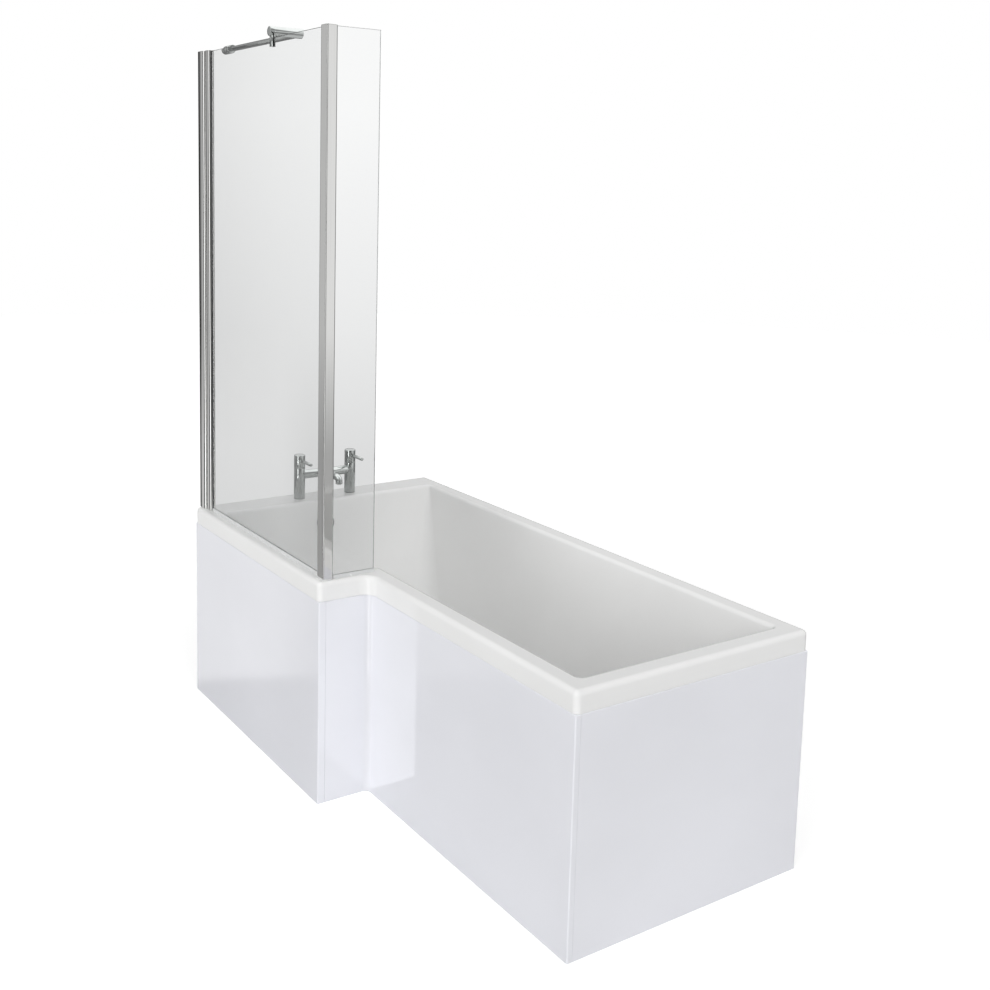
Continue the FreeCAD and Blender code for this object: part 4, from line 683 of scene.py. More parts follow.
def surface_finish(name, tint, spread, rough, scale, kind=GRAIN, bump=0.0, bump_scale=None,
                   ends=(0.3, 0.7), **sockets):
    """A surface whose colour and roughness drift with one pattern, with a fine bump from another."""
    if name in bpy.data.materials:
        return bpy.data.materials[name]
    words = {socket.replace("_", " "): value for socket, value in sockets.items()}
    finish, tree, shader, place = new_surface(name, words)
    drift = pattern_on(tree, place, kind, scale)
    stops = [(ends[0], shade(tint, 1 - spread)), (ends[1], shade(tint, 1 + spread / 2))]
    tree.links.new(ramp(tree, drift, stops), shader.inputs["Base Color"])
    tree.links.new(remap(tree, drift, *ends, *rough), shader.inputs["Roughness"])
    if bump:
        texture = pattern_on(tree, place, GRAIN, bump_scale)
        bumps = tree.nodes.new("ShaderNodeBump")
        bumps.inputs["Strength"].default_value = bump
        bumps.inputs["Distance"].default_value = MM
        tree.links.new(texture, bumps.inputs["Height"])
        tree.links.new(bumps.outputs["Normal"], shader.inputs["Normal"])
    return finish


def acrylic_finish(scene):
    """Glossy cast acrylic: nearly even white with a long, slow drift in gloss."""
    return surface_finish("white acrylic", scene.bath_sizes.acrylic, spread=0.025, rough=(0.07, 0.13),
                          scale=(3, 3, 3), bump=0.02, bump_scale=(45, 45, 45), IOR=1.49)


def panel_finish(scene):
    """Moulded panel sheet: a cooler white than the bath's, with more gloss."""
    return surface_finish("panel sheet", scene.panel_sizes.sheet_colour, spread=0.03, rough=(0.04, 0.07),
                          scale=(2, 2, 3), bump=0.008, bump_scale=(30, 30, 30), IOR=1.7)


def chrome_finish(scene):
    """Mirror chrome plate with faint wiping marks."""
    return surface_finish("chrome plate", scene.fitting_sizes.chrome, spread=0.05, rough=(0.03, 0.08),
                          scale=(60, 60, 25), Metallic=1.0)


def aluminium_finish(scene):
    """Bright anodised aluminium with drawn lines along its length."""
    return surface_finish("bright aluminium", scene.screen_sizes.metal, spread=0.04, rough=(0.04, 0.08),
                          scale=(700, 700, 3), bump=0.01, bump_scale=(900, 900, 2), Metallic=1.0)


def zinc_finish(scene):
    """Zinc plate with its crystal spangle."""
    return surface_finish("zinc plate", scene.under_sizes.steel, spread=0.16, rough=(0.26, 0.45),
                          scale=(110, 110, 110), kind=FLAKES, bump=0.05, bump_scale=(400, 400, 400),
                          ends=(0.0, 1.0), Metallic=1.0)


def brass_finish(scene):
    """Machined brass with turning marks."""
    return surface_finish("machined brass", scene.fitting_sizes.brass, spread=0.10, rough=(0.18, 0.32),
                          scale=(40, 40, 900), bump=0.04, bump_scale=(40, 40, 1500), Metallic=1.0)


def pipe_finish(scene):
    """White moulded pipe with a soft grain."""
    return surface_finish("pipe plastic", scene.fitting_sizes.pipe, spread=0.05, rough=(0.28, 0.40),
                          scale=(25, 25, 25), bump=0.06, bump_scale=(300, 300, 300))


def foot_finish(scene):
    """Black moulded plastic with a fine grain."""
    return surface_finish("foot plastic", scene.under_sizes.foot, spread=0.25, rough=(0.36, 0.52),
                          scale=(80, 80, 80), bump=0.15, bump_scale=(700, 700, 700))


def gasket_finish(scene):
    """Dark grey soft strip."""
    return surface_finish("gasket strip", scene.screen_sizes.gasket, spread=0.2, rough=(0.42, 0.60),
                          scale=(150, 150, 20), bump=0.1, bump_scale=(500, 500, 500))


def rubber_finish(scene):
    """Black rubber."""
    return surface_finish("black rubber", scene.fitting_sizes.rubber, spread=0.25, rough=(0.50, 0.70),
                          scale=(120, 120, 120), bump=0.15, bump_scale=(600, 600, 600))


def seal_finish(scene):
    """Clear flexible strip: part of the light passes through it."""
    return surface_finish("clear seal", scene.screen_sizes.seal, spread=0.04, rough=(0.16, 0.28),
                          scale=(60, 60, 60), IOR=1.45, Transmission_Weight=0.2)


def aerator_finish(scene):
    """Pale moulded insert."""
    return surface_finish("aerator plastic", scene.fitting_sizes.aerator, spread=0.08, rough=(0.35, 0.5),
                          scale=(300, 300, 300))


def board_finish(scene):
    """Raw chipboard: pressed flakes of mixed tone."""
    return surface_finish("raw chipboard", scene.under_sizes.board, spread=0.38, rough=(0.65, 0.85),
                          scale=(170, 170, 420), kind=FLAKES, bump=0.35, bump_scale=(260, 260, 260),
                          ends=(0.0, 1.0))


def batten_finish(scene):
    """Sawn softwood: grain drawn out along the batten."""
    return surface_finish("sawn softwood", scene.under_sizes.batten, spread=0.30, rough=(0.60, 0.80),
                          scale=(9, 9, 130), bump=0.3, bump_scale=(20, 20, 500))


def glass_finish(scene):
    """Clear toughened glass: its base colour is painted shade at the foot that grades into painted light at
    the top, and long paths turn green.
    """
    name = "toughened glass"
    if name in bpy.data.materials:
        return bpy.data.materials[name]
    sizes = scene.screen_sizes
    low, high = span("main_glass")[:2]
    finish, tree, shader, place = new_surface(name, {"IOR": 1.5, "Transmission Weight": 1.0})
    # Painted shade at the glass's foot and painted light at its top: the base colour grades with height
    rise = remap(tree, height_of(tree, place), low[2], high[2])
    stops = [(0.0, shade(sizes.glass_painted_shade_foot, 1)), (0.95, shade(sizes.glass_painted_light_top, 1))]
    tree.links.new(ramp(tree, rise, stops), shader.inputs["Base Color"])
    film = pattern_on(tree, place, GRAIN, (6, 6, 2))
    tree.links.new(remap(tree, film, 0.0, 1.0, high=0.02), shader.inputs["Roughness"])
    depth = tree.nodes.new("ShaderNodeVolumeAbsorption")
    depth.inputs["Color"].default_value = shade(sizes.glass_depth, 1)
    depth.inputs["Density"].default_value = 6.0
    tree.links.new(depth.outputs["Volume"], tree.nodes["Material Output"].inputs["Volume"])
    return finish


# Pieces

class SHOWERBATH_OT_moulded_bath(Operator):
    """Build the rim, skirt and tub as one moulding with its waste hole"""
    bl_idname = "showerbath.moulded_bath"
    bl_label = "Moulded bath"

    def execute(self, context):
        sizes = context.scene.bath_sizes
        low, high = span("bath_shell")[:2]
        top, floor, wall = high[2], sizes.floor_height, sizes.wall
        step_x, step_y = low[0] + sizes.wide_length, low[1] + sizes.step_depth
        rim = self.outline(low[0], high[0], low[1], high[1], step_x, step_y)
        rim_rounds = self.corner_rounds(sizes.outer_corner, sizes.step_corner)
        edge, lean = sizes.rim_width, sizes.side_lean
        left, right = low[0] + sizes.tap_deck, high[0] - edge
        front, back = low[1] + edge, high[1] - edge
        tub = self.outline(left, right, front, back, step_x - edge, step_y + edge)
        tub_rounds = self.corner_rounds(sizes.tub_corner, sizes.tub_step_corner)
        bed = self.outline(left + sizes.tap_lean, right - sizes.foot_lean, front + lean, back - lean,
                           step_x - edge - lean, step_y + edge + lean)
        bed_rounds = self.corner_rounds(sizes.floor_corner, sizes.tub_step_corner)
        rows = self.basin(tub, tub_rounds, bed, bed_rounds, top, floor, sizes.lip_round, sizes.floor_round)
        rows += self.rim_and_skirt(rim, rim_rounds, top, sizes)
        under = self.basin(*moved_in(tub, tub_rounds, -wall), *moved_in(bed, bed_rounds, -wall),
                           top - wall, floor - wall, wall, sizes.floor_round + wall)
        rows += under[::-1]
        hole_middle = span("waste_flange")[2][:2]
        rows = [self.hole(rows[0], hole_middle, sizes.waste_hole)] + rows
        rows.append(self.hole(rows[-1], hole_middle, sizes.waste_hole))
        add_piece("moulded_bath", [(np.stack(rows), True, True)], acrylic_finish(context.scene),
                  "acrylic", "bath", "bath_shell")
        return {"FINISHED"}

    def outline(self, left, right, front, back, step_x, step_y):
        """Corners of the L in plan, anticlockwise: the third is the inward one at the step."""
        return np.array([(left, front), (step_x, front), (step_x, step_y), (right, step_y),
                         (right, back), (left, back)])

    def corner_rounds(self, outward, inward):
        """Roundings of the L's corners, in the same order."""
        return np.array([outward, outward, inward, outward, outward, outward])

    def basin(self, tub, tub_rounds, bed, bed_rounds, top, floor, lip_round, floor_round):
        """Rings from the floor up the walls to the rim.

        The wall is straight from a tub point to its floor point. Both bends have the reach
        k = r tan((90 - lean) / 2).
        """
        ring, way = eased_line(tub, tub_rounds, BATH_CORNER_STEPS, True)
        base, base_way = eased_line(bed, bed_rounds, BATH_CORNER_STEPS, True)
        inward = np.column_stack([-way[:, 1], way[:, 0], np.zeros(len(way))])
        base_inward = np.column_stack([-base_way[:, 1], base_way[:, 0], np.zeros(len(way))])
        lip, foot = ring_at(ring, top), ring_at(base, floor)
        fall = foot - lip
        lean = np.arctan2((fall * inward).sum(1), top - floor)
        slope = fall / np.linalg.norm(fall, axis=1, keepdims=True)
        share = np.tan((QUARTER_TURN - lean) / 2)[:, None]
        lip_reach, floor_reach = lip_round * share, floor_round * share
        first, last = foot - slope * floor_reach, lip + slope * lip_reach
        wall_parts = (0.015, 0.25, 0.5, 0.75, 0.985)
        return [
            foot + base_inward * (floor_reach + 2 * FLAT_MARGIN),
            *self.bend(foot, -slope, base_inward, floor_reach),
            *[first + (last - first) * part for part in wall_parts],
            *self.bend(lip, -inward, slope, lip_reach),
            lip - inward * (lip_reach + FLAT_MARGIN),
        ]

    def bend(self, corner, back, on, reach):
        """Rings of a rounding: corner + back k (1 - sin t) + on k (1 - cos t), from its far end."""
        turn = np.linspace(QUARTER_TURN, 0, 9)
        return [corner + back * reach * (1 - math.sin(t)) + on * reach * (1 - math.cos(t)) for t in turn]

    def rim_and_skirt(self, rim, rounds, top, sizes):
        """Rings from the rim's flat over its rounded edge, down the skirt and up inside it."""
        inward, drop = quarter(sizes.rim_edge, 10)
        under, ease = top - sizes.skirt, sizes.skirt_edge
        ease_in, ease_up = quarter(ease, 4)
        section = [(sizes.rim_edge + FLAT_MARGIN, top)]
        section += list(zip(inward, top - drop))
        section += [(0.0, top - sizes.rim_edge - FLAT_MARGIN), (0.0, under + 2 * ease)]
        section += list(zip(ease_in, under + ease_up))[::-1]
        section += list(zip(sizes.wall - ease_in, under + ease_up))
        section += [(sizes.wall, under + 2 * ease), (sizes.wall, top - sizes.wall)]
        return [ring_at(eased_line(*moved_in(rim, rounds, step), BATH_CORNER_STEPS, True)[0], height)
                for step, height in section]

    def hole(self, ring, middle, radius):
        """The circle round a middle point that faces each point of a ring."""
        way = ring[:, :2] - middle
        way /= np.linalg.norm(way, axis=1, keepdims=True)
        return ring_at(middle + way * radius, ring[:, 2])


class SHOWERBATH_OT_panels(Operator):
    """Build the stepped front panel and the foot-end panel"""
    bl_idname = "showerbath.panels"
    bl_label = "Panels"

    def execute(self, context):
        sizes = context.scene.panel_sizes
        finish = panel_finish(context.scene)
        low, high = span("front_panel")[:2]
        bath = context.scene.bath_sizes
        side = cad_box[0][0] + bath.wide_length - sizes.recess
        long = cad_box[0][1] + bath.step_depth + sizes.recess
        lip = long + sizes.side_return
        joint, lap = low[1] + sizes.joint_place, sizes.joint_lap
        route = [(low[0], low[1]), (side, low[1]), (side, long), (high[0], long), (high[0], lip)]
        rounds = [0, sizes.outer_corner, sizes.inner_corner, sizes.end_corner, 0]
        before = route[:2] + [(side, joint)]
        after = [(side, joint + sizes.joint_width)] + route[2:]
        fold_route = route[:3] + [(high[0] - sizes.fold - sizes.fold_gap, long)]
        sheet = self.sheet(low[2], high[2], sizes)
        strip = rectangle((side - sizes.sheet, joint - lap), (side - sizes.joint_depth, joint + 2 * lap))
        grids = [
            self.along(before, rounds[:2] + [0], sheet),
            self.along(after, [0] + rounds[2:], sheet),
            upright(strip, LEAST_ROUND, low[2] + lap, high[2] - sizes.top_edge, LEAST_ROUND),
            self.along(fold_route, rounds[:4], self.fold(high[2], sizes)),
        ]
        add_piece("stepped_panel", grids, finish, "panel", "bath", "front_panel")
        low, high = span("end_panel")[:2]
        route = [(high[0], low[1]), (high[0], high[1])]
        grids = [
            self.along(route, [0, 0], self.sheet(low[2], high[2], sizes)),
            self.along(route, [0, 0], self.fold(high[2], sizes)),
        ]
        add_piece("foot_end_panel", grids, finish, "panel", "bath", "end_panel")
        return {"FINISHED"}

    def sheet(self, low, high, sizes):
        """Section of a panel's sheet: depth behind its face, and height."""
        corners = [(0, low), (sizes.sheet, low), (sizes.sheet, high), (0, high)]
        return eased_section(corners, [sizes.low_edge, sizes.low_edge, LEAST_ROUND, sizes.top_edge])

    def fold(self, high, sizes):
        """Section of the fold behind a panel's top edge, run a little into the sheet."""
        sunk = 0.3 * MM
        start, low = sizes.sheet - sunk, high - sizes.sheet
        corners = [(start, low), (sizes.fold, low), (sizes.fold, high), (start, high)]
        return eased_section(corners, [LEAST_ROUND, sizes.fold_edge, sizes.fold_edge, LEAST_ROUND])

    def along(self, route, rounds, section):
        """The section carried along a plan route, each point on the route moved in by its depth."""
        rings = [
            ring_at(eased_line(*moved_in(route, rounds, depth, False), 9)[0], height)
            for depth, height in section
        ]
        return np.stack(rings), True, False


class SHOWERBATH_OT_glass_panes(Operator):
    """Build the main pane and the short return pane with ground edges"""
    bl_idname = "showerbath.glass_panes"
    bl_label = "Glass panes"

    def execute(self, context):
        arris = context.scene.screen_sizes.arris
        finish = glass_finish(context.scene)
        for name, node in (("main_pane", "main_glass"), ("return_pane", "return_glass")):
            add_piece(name, [node_upright(node, arris, arris)], finish, "glass", "bath", node, sharp=20)
        return {"FINISHED"}


class SHOWERBATH_OT_screen_profiles(Operator):
    """Build the wall channel, glass profile, corner post, their caps and the post's foot"""
    bl_idname = "showerbath.screen_profiles"
    bl_label = "Screen profiles"

    def execute(self, context):
        sizes = context.scene.screen_sizes
        finish = aluminium_finish(context.scene)
        bend, back, edge = sizes.profile_corner, sizes.profile_back_corner, sizes.channel_edge
        low, high = span("wall_channel")[:2]
        channel, channel_rounds = crowned(rectangle(low, high), [edge, bend, bend, edge], sizes.profile_crown)
        grid = node_upright("wall_channel", channel_rounds, outline=channel)
        add_piece("channel_at_wall", [grid], finish, "aluminium", "bath", "wall_channel")
        start = high[0] + sizes.profile_gap
        low, high = span("glass_profile")[:2]
        front = rectangle((start, low[1]), high)
        profile, profile_rounds = crowned(front, [back, bend, bend, back], sizes.profile_crown)
        grid = node_upright("glass_profile", profile_rounds, outline=profile)
        add_piece("profile_on_glass", [grid], finish, "aluminium", "bath", "glass_profile")
        grids = [
            node_upright("profile_cap", rounds, steps=4, top_edge=sizes.profile_cap_edge, outline=outline)
            for outline, rounds in ((channel, channel_rounds), (profile, profile_rounds))
        ]
        add_piece("cap_on_profiles", grids, finish, "aluminium", "bath", "profile_cap")
        grid = node_upright("corner_post", sizes.post_corner)
        add_piece("post_at_corner", [grid], finish, "aluminium", "bath", "corner_post")
        grid = node_upright("post_cap", sizes.post_corner, steps=4, top_edge=sizes.post_cap_edge)
        add_piece("cap_on_post", [grid], finish, "aluminium", "bath", "post_cap")
        grid = node_upright("post_foot", sizes.post_corner, sizes.post_foot_edge, steps=4)
        add_piece("foot_of_post", [grid], seal_finish(context.scene), "clear_plastic", "bath", "post_foot")
        dress(gasket_finish(context.scene), "profile_gasket", "post_gaskets", "clamp_pads")
        dress(zinc_finish(context.scene), "profile_screws")
        return {"FINISHED"}


class SHOWERBATH_OT_glass_seals(Operator):
    """Build the clear U-shaped seals under the panes"""
    bl_idname = "showerbath.glass_seals"
    bl_label = "Glass seals"

    def execute(self, context):
        sizes = context.scene.screen_sizes
        for name, node, way in (("seal_of_main_pane", "main_seal", "x"),
                                ("seal_of_return_pane", "return_seal", "y")):
            low, high = span(node)[:2]
            across = 1 if way == "x" else 0
            section = self.section(low[across], high[across], low[2], high[2], sizes)
            grid = carried(section, way, low[1 - across], high[1 - across])
            add_piece(name, [grid], seal_finish(context.scene), "clear_plastic", "bath", node)
        return {"FINISHED"}

    def section(self, low, high, foot, top, sizes):
        """A U: two walls beside the glass, and a web under its edge."""
        wall, web = sizes.seal_wall, foot + sizes.seal_step
        corners = [(low, foot), (high, foot), (high, top), (high - wall, top), (high - wall, web),
                   (low + wall, web), (low + wall, top), (low, top)]
        feet, lips, hollows = ([size] * 2 for size in (sizes.seal_foot, sizes.seal_lip, sizes.seal_hollow))
        return eased_section(corners, feet + lips + hollows + lips)


class SHOWERBATH_OT_support_bar(Operator):
    """Build the wall bracket, rod end, rod and glass clamp"""
    bl_idname = "showerbath.support_bar"
    bl_label = "Support bar"

    def execute(self, context):
        sizes = context.scene.screen_sizes
        finish = chrome_finish(context.scene)
        low, high, middle = span("support_bracket")
        y, z = middle[1], middle[2]
        axis = (0, y, z), (1, 0, 0)
        radius, half = (high[2] - low[2]) / 2, sizes.fork_gap / 2
        fork, collar = high[0] - sizes.fork_depth, high[0] + sizes.collar_gap
        grids = [turned(rod_section(radius, low[0], fork, sizes.bracket_edge, LEAST_ROUND), *axis)]
        for side in (1, -1):
            prong = self.segment(radius, half, y, z, side)
            grids.append(self.eased_prism(prong, "x", fork - LAP, high[0], sizes.prong_edge))
        add_piece("bracket_at_wall", grids, finish, "chrome", "bath", "support_bracket")
        low, high = span("rod_end")[:2]
        tongue = self.tongue(radius, half - sizes.collar_gap, y, z)
        grids = [
            turned(rod_section(radius, collar, high[0], sizes.collar_edge, sizes.bar_edge), *axis),
            self.eased_prism(tongue, "x", low[0], collar + DEEP_LAP, sizes.prong_edge),
        ]
        add_piece("end_of_rod", grids, finish, "chrome", "bath", "rod_end")
        low, high = span("support_rod")[:2]
        section = rod_section(high[2] - z, low[0] - DEEP_LAP, high[0], LEAST_ROUND, LEAST_ROUND)
        add_piece("rod_to_glass", [turned(section, *axis)], finish, "chrome", "bath", "support_rod")
        self.clamp(radius, sizes, finish)
        dress(finish, "bracket_pin", "clamp_screw")
        return {"FINISHED"}

    def clamp(self, radius, sizes, finish):
        """A barrel across the glass, and a slotted pin under it that holds the glass edge."""
        low, high, middle = span("glass_clamp")
        x, barrel_z = middle[0], high[2] - radius
        glass_painted_light_top, glass_middle = span("main_glass")[1:]
        half = glass_painted_light_top[1] - glass_middle[1] + sizes.clamp_pad
        slot_top = glass_painted_light_top[2] + sizes.clamp_pad
        pin = rod_section(sizes.clamp_pin, slot_top, barrel_z, LEAST_ROUND, LEAST_ROUND)
        grids = [
            turned(self.barrel(radius, low[1], high[1], sizes), (x, 0, barrel_z), (0, 1, 0)),
            turned(pin, (x, glass_middle[1], 0)),
        ]
        for side in (1, -1):
            prong = self.segment(sizes.clamp_pin, half, glass_middle[1], x, side)[:, ::-1]
            grids.append(self.eased_prism(prong, "z", low[2], slot_top + LAP, sizes.prong_edge))
        add_piece("clamp_on_glass", grids, finish, "chrome", "bath", "glass_clamp")

    def barrel(self, radius, low, high, sizes):
        """Half section of the clamp's barrel, with the fine joint of its end cap."""
        joint, cut = low + sizes.barrel_joint, sizes.barrel_cut
        start = rod_section(radius, low, high, sizes.bar_edge, sizes.bar_edge)
        groove = [(radius, joint - cut), (radius - cut, joint), (radius, joint + cut)]
        half = len(start) // 2
        return np.concatenate([start[:half], groove, start[half:]])

    def segment(self, radius, half, across, along, side):
        """Section of a prong: the part of a disc past a chord."""
        reach = math.acos(half / radius)
        angle = np.linspace(-reach, reach, 20)
        return np.column_stack([across + side * radius * np.cos(angle), along + radius * np.sin(angle)])

    def tongue(self, radius, half, y, z):
        """Section of the rod's flat end: the part of a disc between two chords."""
        reach = math.asin(half / radius)
        angle = np.linspace(-reach, reach, 8)
        upper = np.column_stack([y + radius * np.sin(angle), z + radius * np.cos(angle)])
        lower = np.column_stack([y - radius * np.sin(angle), z - radius * np.cos(angle)])
        return np.concatenate([upper, lower])

    def eased_prism(self, section, way, low, high, ease):
        """A section carried straight along x, y or z, drawn in a little at both ends."""
        middle, drawn_in = section.mean(axis=0), 0.95
        drawn = middle + (section - middle) * drawn_in
        ends = carried(drawn, way, low, high)[0]
        body = carried(section, way, low + ease, high - ease)[0]
        return np.stack([ends[0], body[0], body[1], ends[1]]), False, True


class SHOWERBATH_OT_tap_body(Operator):
    """Build the tap's pillars, bridge, spout, aerator, tails and backnuts"""
    bl_idname = "showerbath.tap_body"
    bl_label = "Tap body"

    def execute(self, context):
        sizes = context.scene.fitting_sizes
        chrome = chrome_finish(context.scene)
        brass = brass_finish(context.scene)
        places = []
        for side in ("hot", "cold"):
            low, high, middle = span(f"{side}_pillar")
            radius = (high[0] - low[0]) / 2
            places.append(middle)
            section = rod_section(radius, low[2], high[2], sizes.pillar_edge, sizes.pillar_edge)
            grid = turned(section, at_floor(middle), columns=64)
            add_piece(f"{side}_tap_pillar", [grid], chrome, "chrome", "bath", f"{side}_pillar")
        low, high, middle = span("tap_bridge")
        x, z = places[0][0], middle[2]
        ends = places[0][1] + sizes.bridge_inset, places[1][1] - sizes.bridge_inset
        section = rod_section((high[2] - low[2]) / 2, *ends, LEAST_ROUND, LEAST_ROUND)
        grid = turned(section, (x, 0, z), (0, 1, 0))
        add_piece("bridge_of_tap", [grid], chrome, "chrome", "bath", "tap_bridge")
        self.spout(x, z, sizes, chrome)
        low, high, middle = span("spout_aerator")
        radius = (high[0] - low[0]) / 2
        bore = radius - sizes.aerator_wall
        corners = [(bore, low[2]), (radius, low[2]), (radius, high[2]), (bore, high[2])]
        grid = turned(eased_section(corners, sizes.aerator_edge), at_floor(middle), joined=True)
        add_piece("aerator_in_spout", [grid], aerator_finish(context.scene), "aerator_plastic", "bath",
                  "spout_aerator")
        self.tails(places, sizes, brass)
        dress(brass, "hot_cartridge", "cold_cartridge", "hot_spindle", "cold_spindle")
        dress(rubber_finish(context.scene), "tap_washers")
        return {"FINISHED"}

    def spout(self, x, z, sizes, chrome):
        """A pipe from the bridge, bent down to the outlet."""
        low, high, middle = span("tap_spout")
        radius = (high[1] - low[1]) / 2
        bore, end = radius - sizes.spout_wall, high[0] - radius
        route = [(x + sizes.spout_start, z), (end, z), (end, low[2])]
        grid = pipe(route, [0, sizes.spout_bend, 0], middle[1], radius, bore, columns=48, steps=18)
        add_piece("spout_of_tap", [grid], chrome, "chrome", "bath", "tap_spout")

    def tails(self, places, sizes, brass):
        """Threaded tails under the deck, with their hexagon backnuts."""
        low, high = span("tap_tails")[:2]
        radius = (high[0] - low[0]) / 2
        bore = radius * 0.55
        outer = thread_wall(radius, low[2], high[2], sizes.thread, rows=5)
        section = np.concatenate([outer, [(bore, high[2]), (bore, low[2])]])
        cut = threaded(radius, sizes.thread, sizes.thread_depth)
        grids = [turned(section, at_floor(p), columns=28, joined=True, shape=cut) for p in places]
        add_piece("threaded_tails", grids, brass, "brass", "bath", "tap_tails")
        low, high = span("tap_backnuts")[:2]
        across = (high[0] - low[0]) / 2
        section = nut_section(across, radius + FIT, low[2], high[2])
        cut = hexagon(across)
        grids = [turned(section, at_floor(p), columns=72, joined=True, shape=cut) for p in places]
        add_piece("backnuts_of_tap", grids, brass, "brass", "bath", "tap_backnuts", sharp=25)


class SHOWERBATH_OT_tap_handles(Operator):
    """Build the two turning handles with their pin levers"""
    bl_idname = "showerbath.tap_handles"
    bl_label = "Tap handles"

    def execute(self, context):
        sizes = context.scene.fitting_sizes
        finish = chrome_finish(context.scene)
        for side in ("hot", "cold"):
            low, high, middle = span(f"{side}_handle")
            radius = (high[1] - low[1]) / 2
            section = rod_section(radius, low[2], high[2], sizes.handle_foot, sizes.handle_edge, steps=6)
            grid = turned(section, at_floor(middle), columns=64)
            add_piece(f"{side}_tap_turn", [grid], finish, "chrome", f"{side}_tap_handle", f"{side}_handle")
            low, high, middle = span(f"{side}_lever")
            radius = (high[1] - low[1]) / 2
            section = rod_section(radius, low[0], high[0], LEAST_ROUND, sizes.lever_tip, steps=6)
            grid = turned(section, (0, middle[1], middle[2]), (1, 0, 0), columns=32)
            add_piece(f"{side}_tap_pin", [grid], finish, "chrome", f"{side}_tap_handle", f"{side}_lever")
        return {"FINISHED"}


class SHOWERBATH_OT_waste_and_plug(Operator):
    """Build the waste flange, the click plug's cap, the waste body and the trap"""
    bl_idname = "showerbath.waste_and_plug"
    bl_label = "Waste and plug"

    def execute(self, context):
        sizes = context.scene.fitting_sizes
        floor = context.scene.bath_sizes.floor_height
        chrome = chrome_finish(context.scene)
        low, high, middle = span("waste_flange")
        foot = at_floor(middle)
        bore, tube = sizes.waste_bore, sizes.waste_tube
        rim, seat = (high[0] - low[0]) / 2, high[2] - sizes.plug_recess
        inner = rim - sizes.flange_rim
        corners = [(bore, low[2]), (tube, low[2]), (tube, floor), (rim, floor), (rim, high[2]),
                   (inner, high[2]), (inner, seat), (bore, seat)]
        rounds = np.array([0.4, 0.4, 0.3, 0.2, 1.4, 0.6, 0.3, 0.6]) * MM
        flange = turned(eased_section(corners, rounds), foot, columns=64, joined=True)
        add_piece("flange_of_waste", [flange, *self.guide(middle, floor, sizes)], chrome, "chrome", "bath",
                  "waste_flange")
        grid = turned(self.plug_section(sizes), foot, columns=64)
        add_piece("cap_of_plug", [grid], chrome, "chrome", "click_plug", "plug_cap")
        self.body_and_trap(foot, sizes, pipe_finish(context.scene))
        dress(brass_finish(context.scene), "plug_stem")
        dress(rubber_finish(context.scene), "waste_seals")
        return {"FINISHED"}

    def guide(self, middle, floor, sizes):
        """Hub and four arms that guide the plug's stem."""
        low, high, edge = floor - sizes.guide_foot, floor - sizes.guide_top, sizes.guide_edge
        bore, hub = sizes.guide_bore, sizes.guide_hub
        section = eased_section([(bore, low), (hub, low), (hub, high), (bore, high)], edge)
        grids = [turned(section, at_floor(middle), columns=32, joined=True)]
        far = sizes.waste_bore + sizes.guide_lap
        for way in ((1, 0), (-1, 0), (0, 1), (0, -1)):
            way = np.array(way, float)
            side = np.abs(way[::-1]) * sizes.guide_arm
            ends = middle[:2] + way * sizes.guide_root, middle[:2] + way * far
            arm = rectangle(np.minimum(*ends) - side, np.maximum(*ends) + side)
            grids.append(upright(arm, edge, low, high, edge))
        return grids

    def plug_section(self, sizes):
        """Half section of the plug's cap: its dome is top + flat - swell s^2 - fall s^6, at most top,
        where s is the share of the radius."""
        low, high = span("plug_cap")[:2]
        radius, top = (high[0] - low[0]) / 2, high[2]
        inward, drop = quarter(sizes.plug_edge, 4)
        skirt = np.column_stack([radius - inward, low[2] + drop])
        s = np.linspace(0.985, 0.3, 12)
        crown = top + sizes.plug_flat - sizes.plug_swell * s ** 2 - sizes.plug_fall * s ** 6
        dome = np.column_stack([radius * s, np.minimum(crown, top)])
        shoulder = [(radius, top - sizes.plug_shoulder)]
        return np.concatenate([[(radius * 0.6, low[2])], skirt, shoulder, dome])

    def body_and_trap(self, foot, sizes, plastic):
        """The pot under the floor with its hose stub, and the bent trap."""
        low, high = span("waste_body")[:2]
        radius = (high[1] - low[1]) / 2
        bore, outlet = sizes.waste_tube + FIT, sizes.pot_outlet
        ledge = low[2] + sizes.pot_ledge
        corners = [(outlet, low[2]), (radius - sizes.pot_taper, low[2]), (radius, ledge), (radius, high[2]),
                   (bore, high[2]), (bore, ledge), (outlet, ledge)]
        stub_end = foot[0] - radius + sizes.stub_lap
        stub = rod_section(sizes.stub, low[0], stub_end, sizes.stub_edge, LEAST_ROUND)
        grids = [
            turned(eased_section(corners, sizes.pot_edge), foot, joined=True),
            turned(stub, (0, foot[1], (low[2] + high[2]) / 2), (1, 0, 0), columns=32),
        ]
        add_piece("pot_of_waste", grids, plastic, "waste_plastic", "bath", "waste_body")
        low, high = span("waste_trap")[:2]
        radius = (high[1] - low[1]) / 2
        depth, left = low[2] + radius, foot[0] - sizes.trap_reach
        out = depth + sizes.trap_rise
        route = [(foot[0], high[2]), (foot[0], depth), (left, depth), (left, out), (low[0], out)]
        rounds = [0, sizes.trap_bend, sizes.trap_bend, sizes.trap_outlet_bend, 0]
        grid = pipe(route, rounds, foot[1], radius, radius - sizes.trap_wall, columns=40, steps=16)
        add_piece("bent_trap", [grid], plastic, "waste_plastic", "bath", "waste_trap")


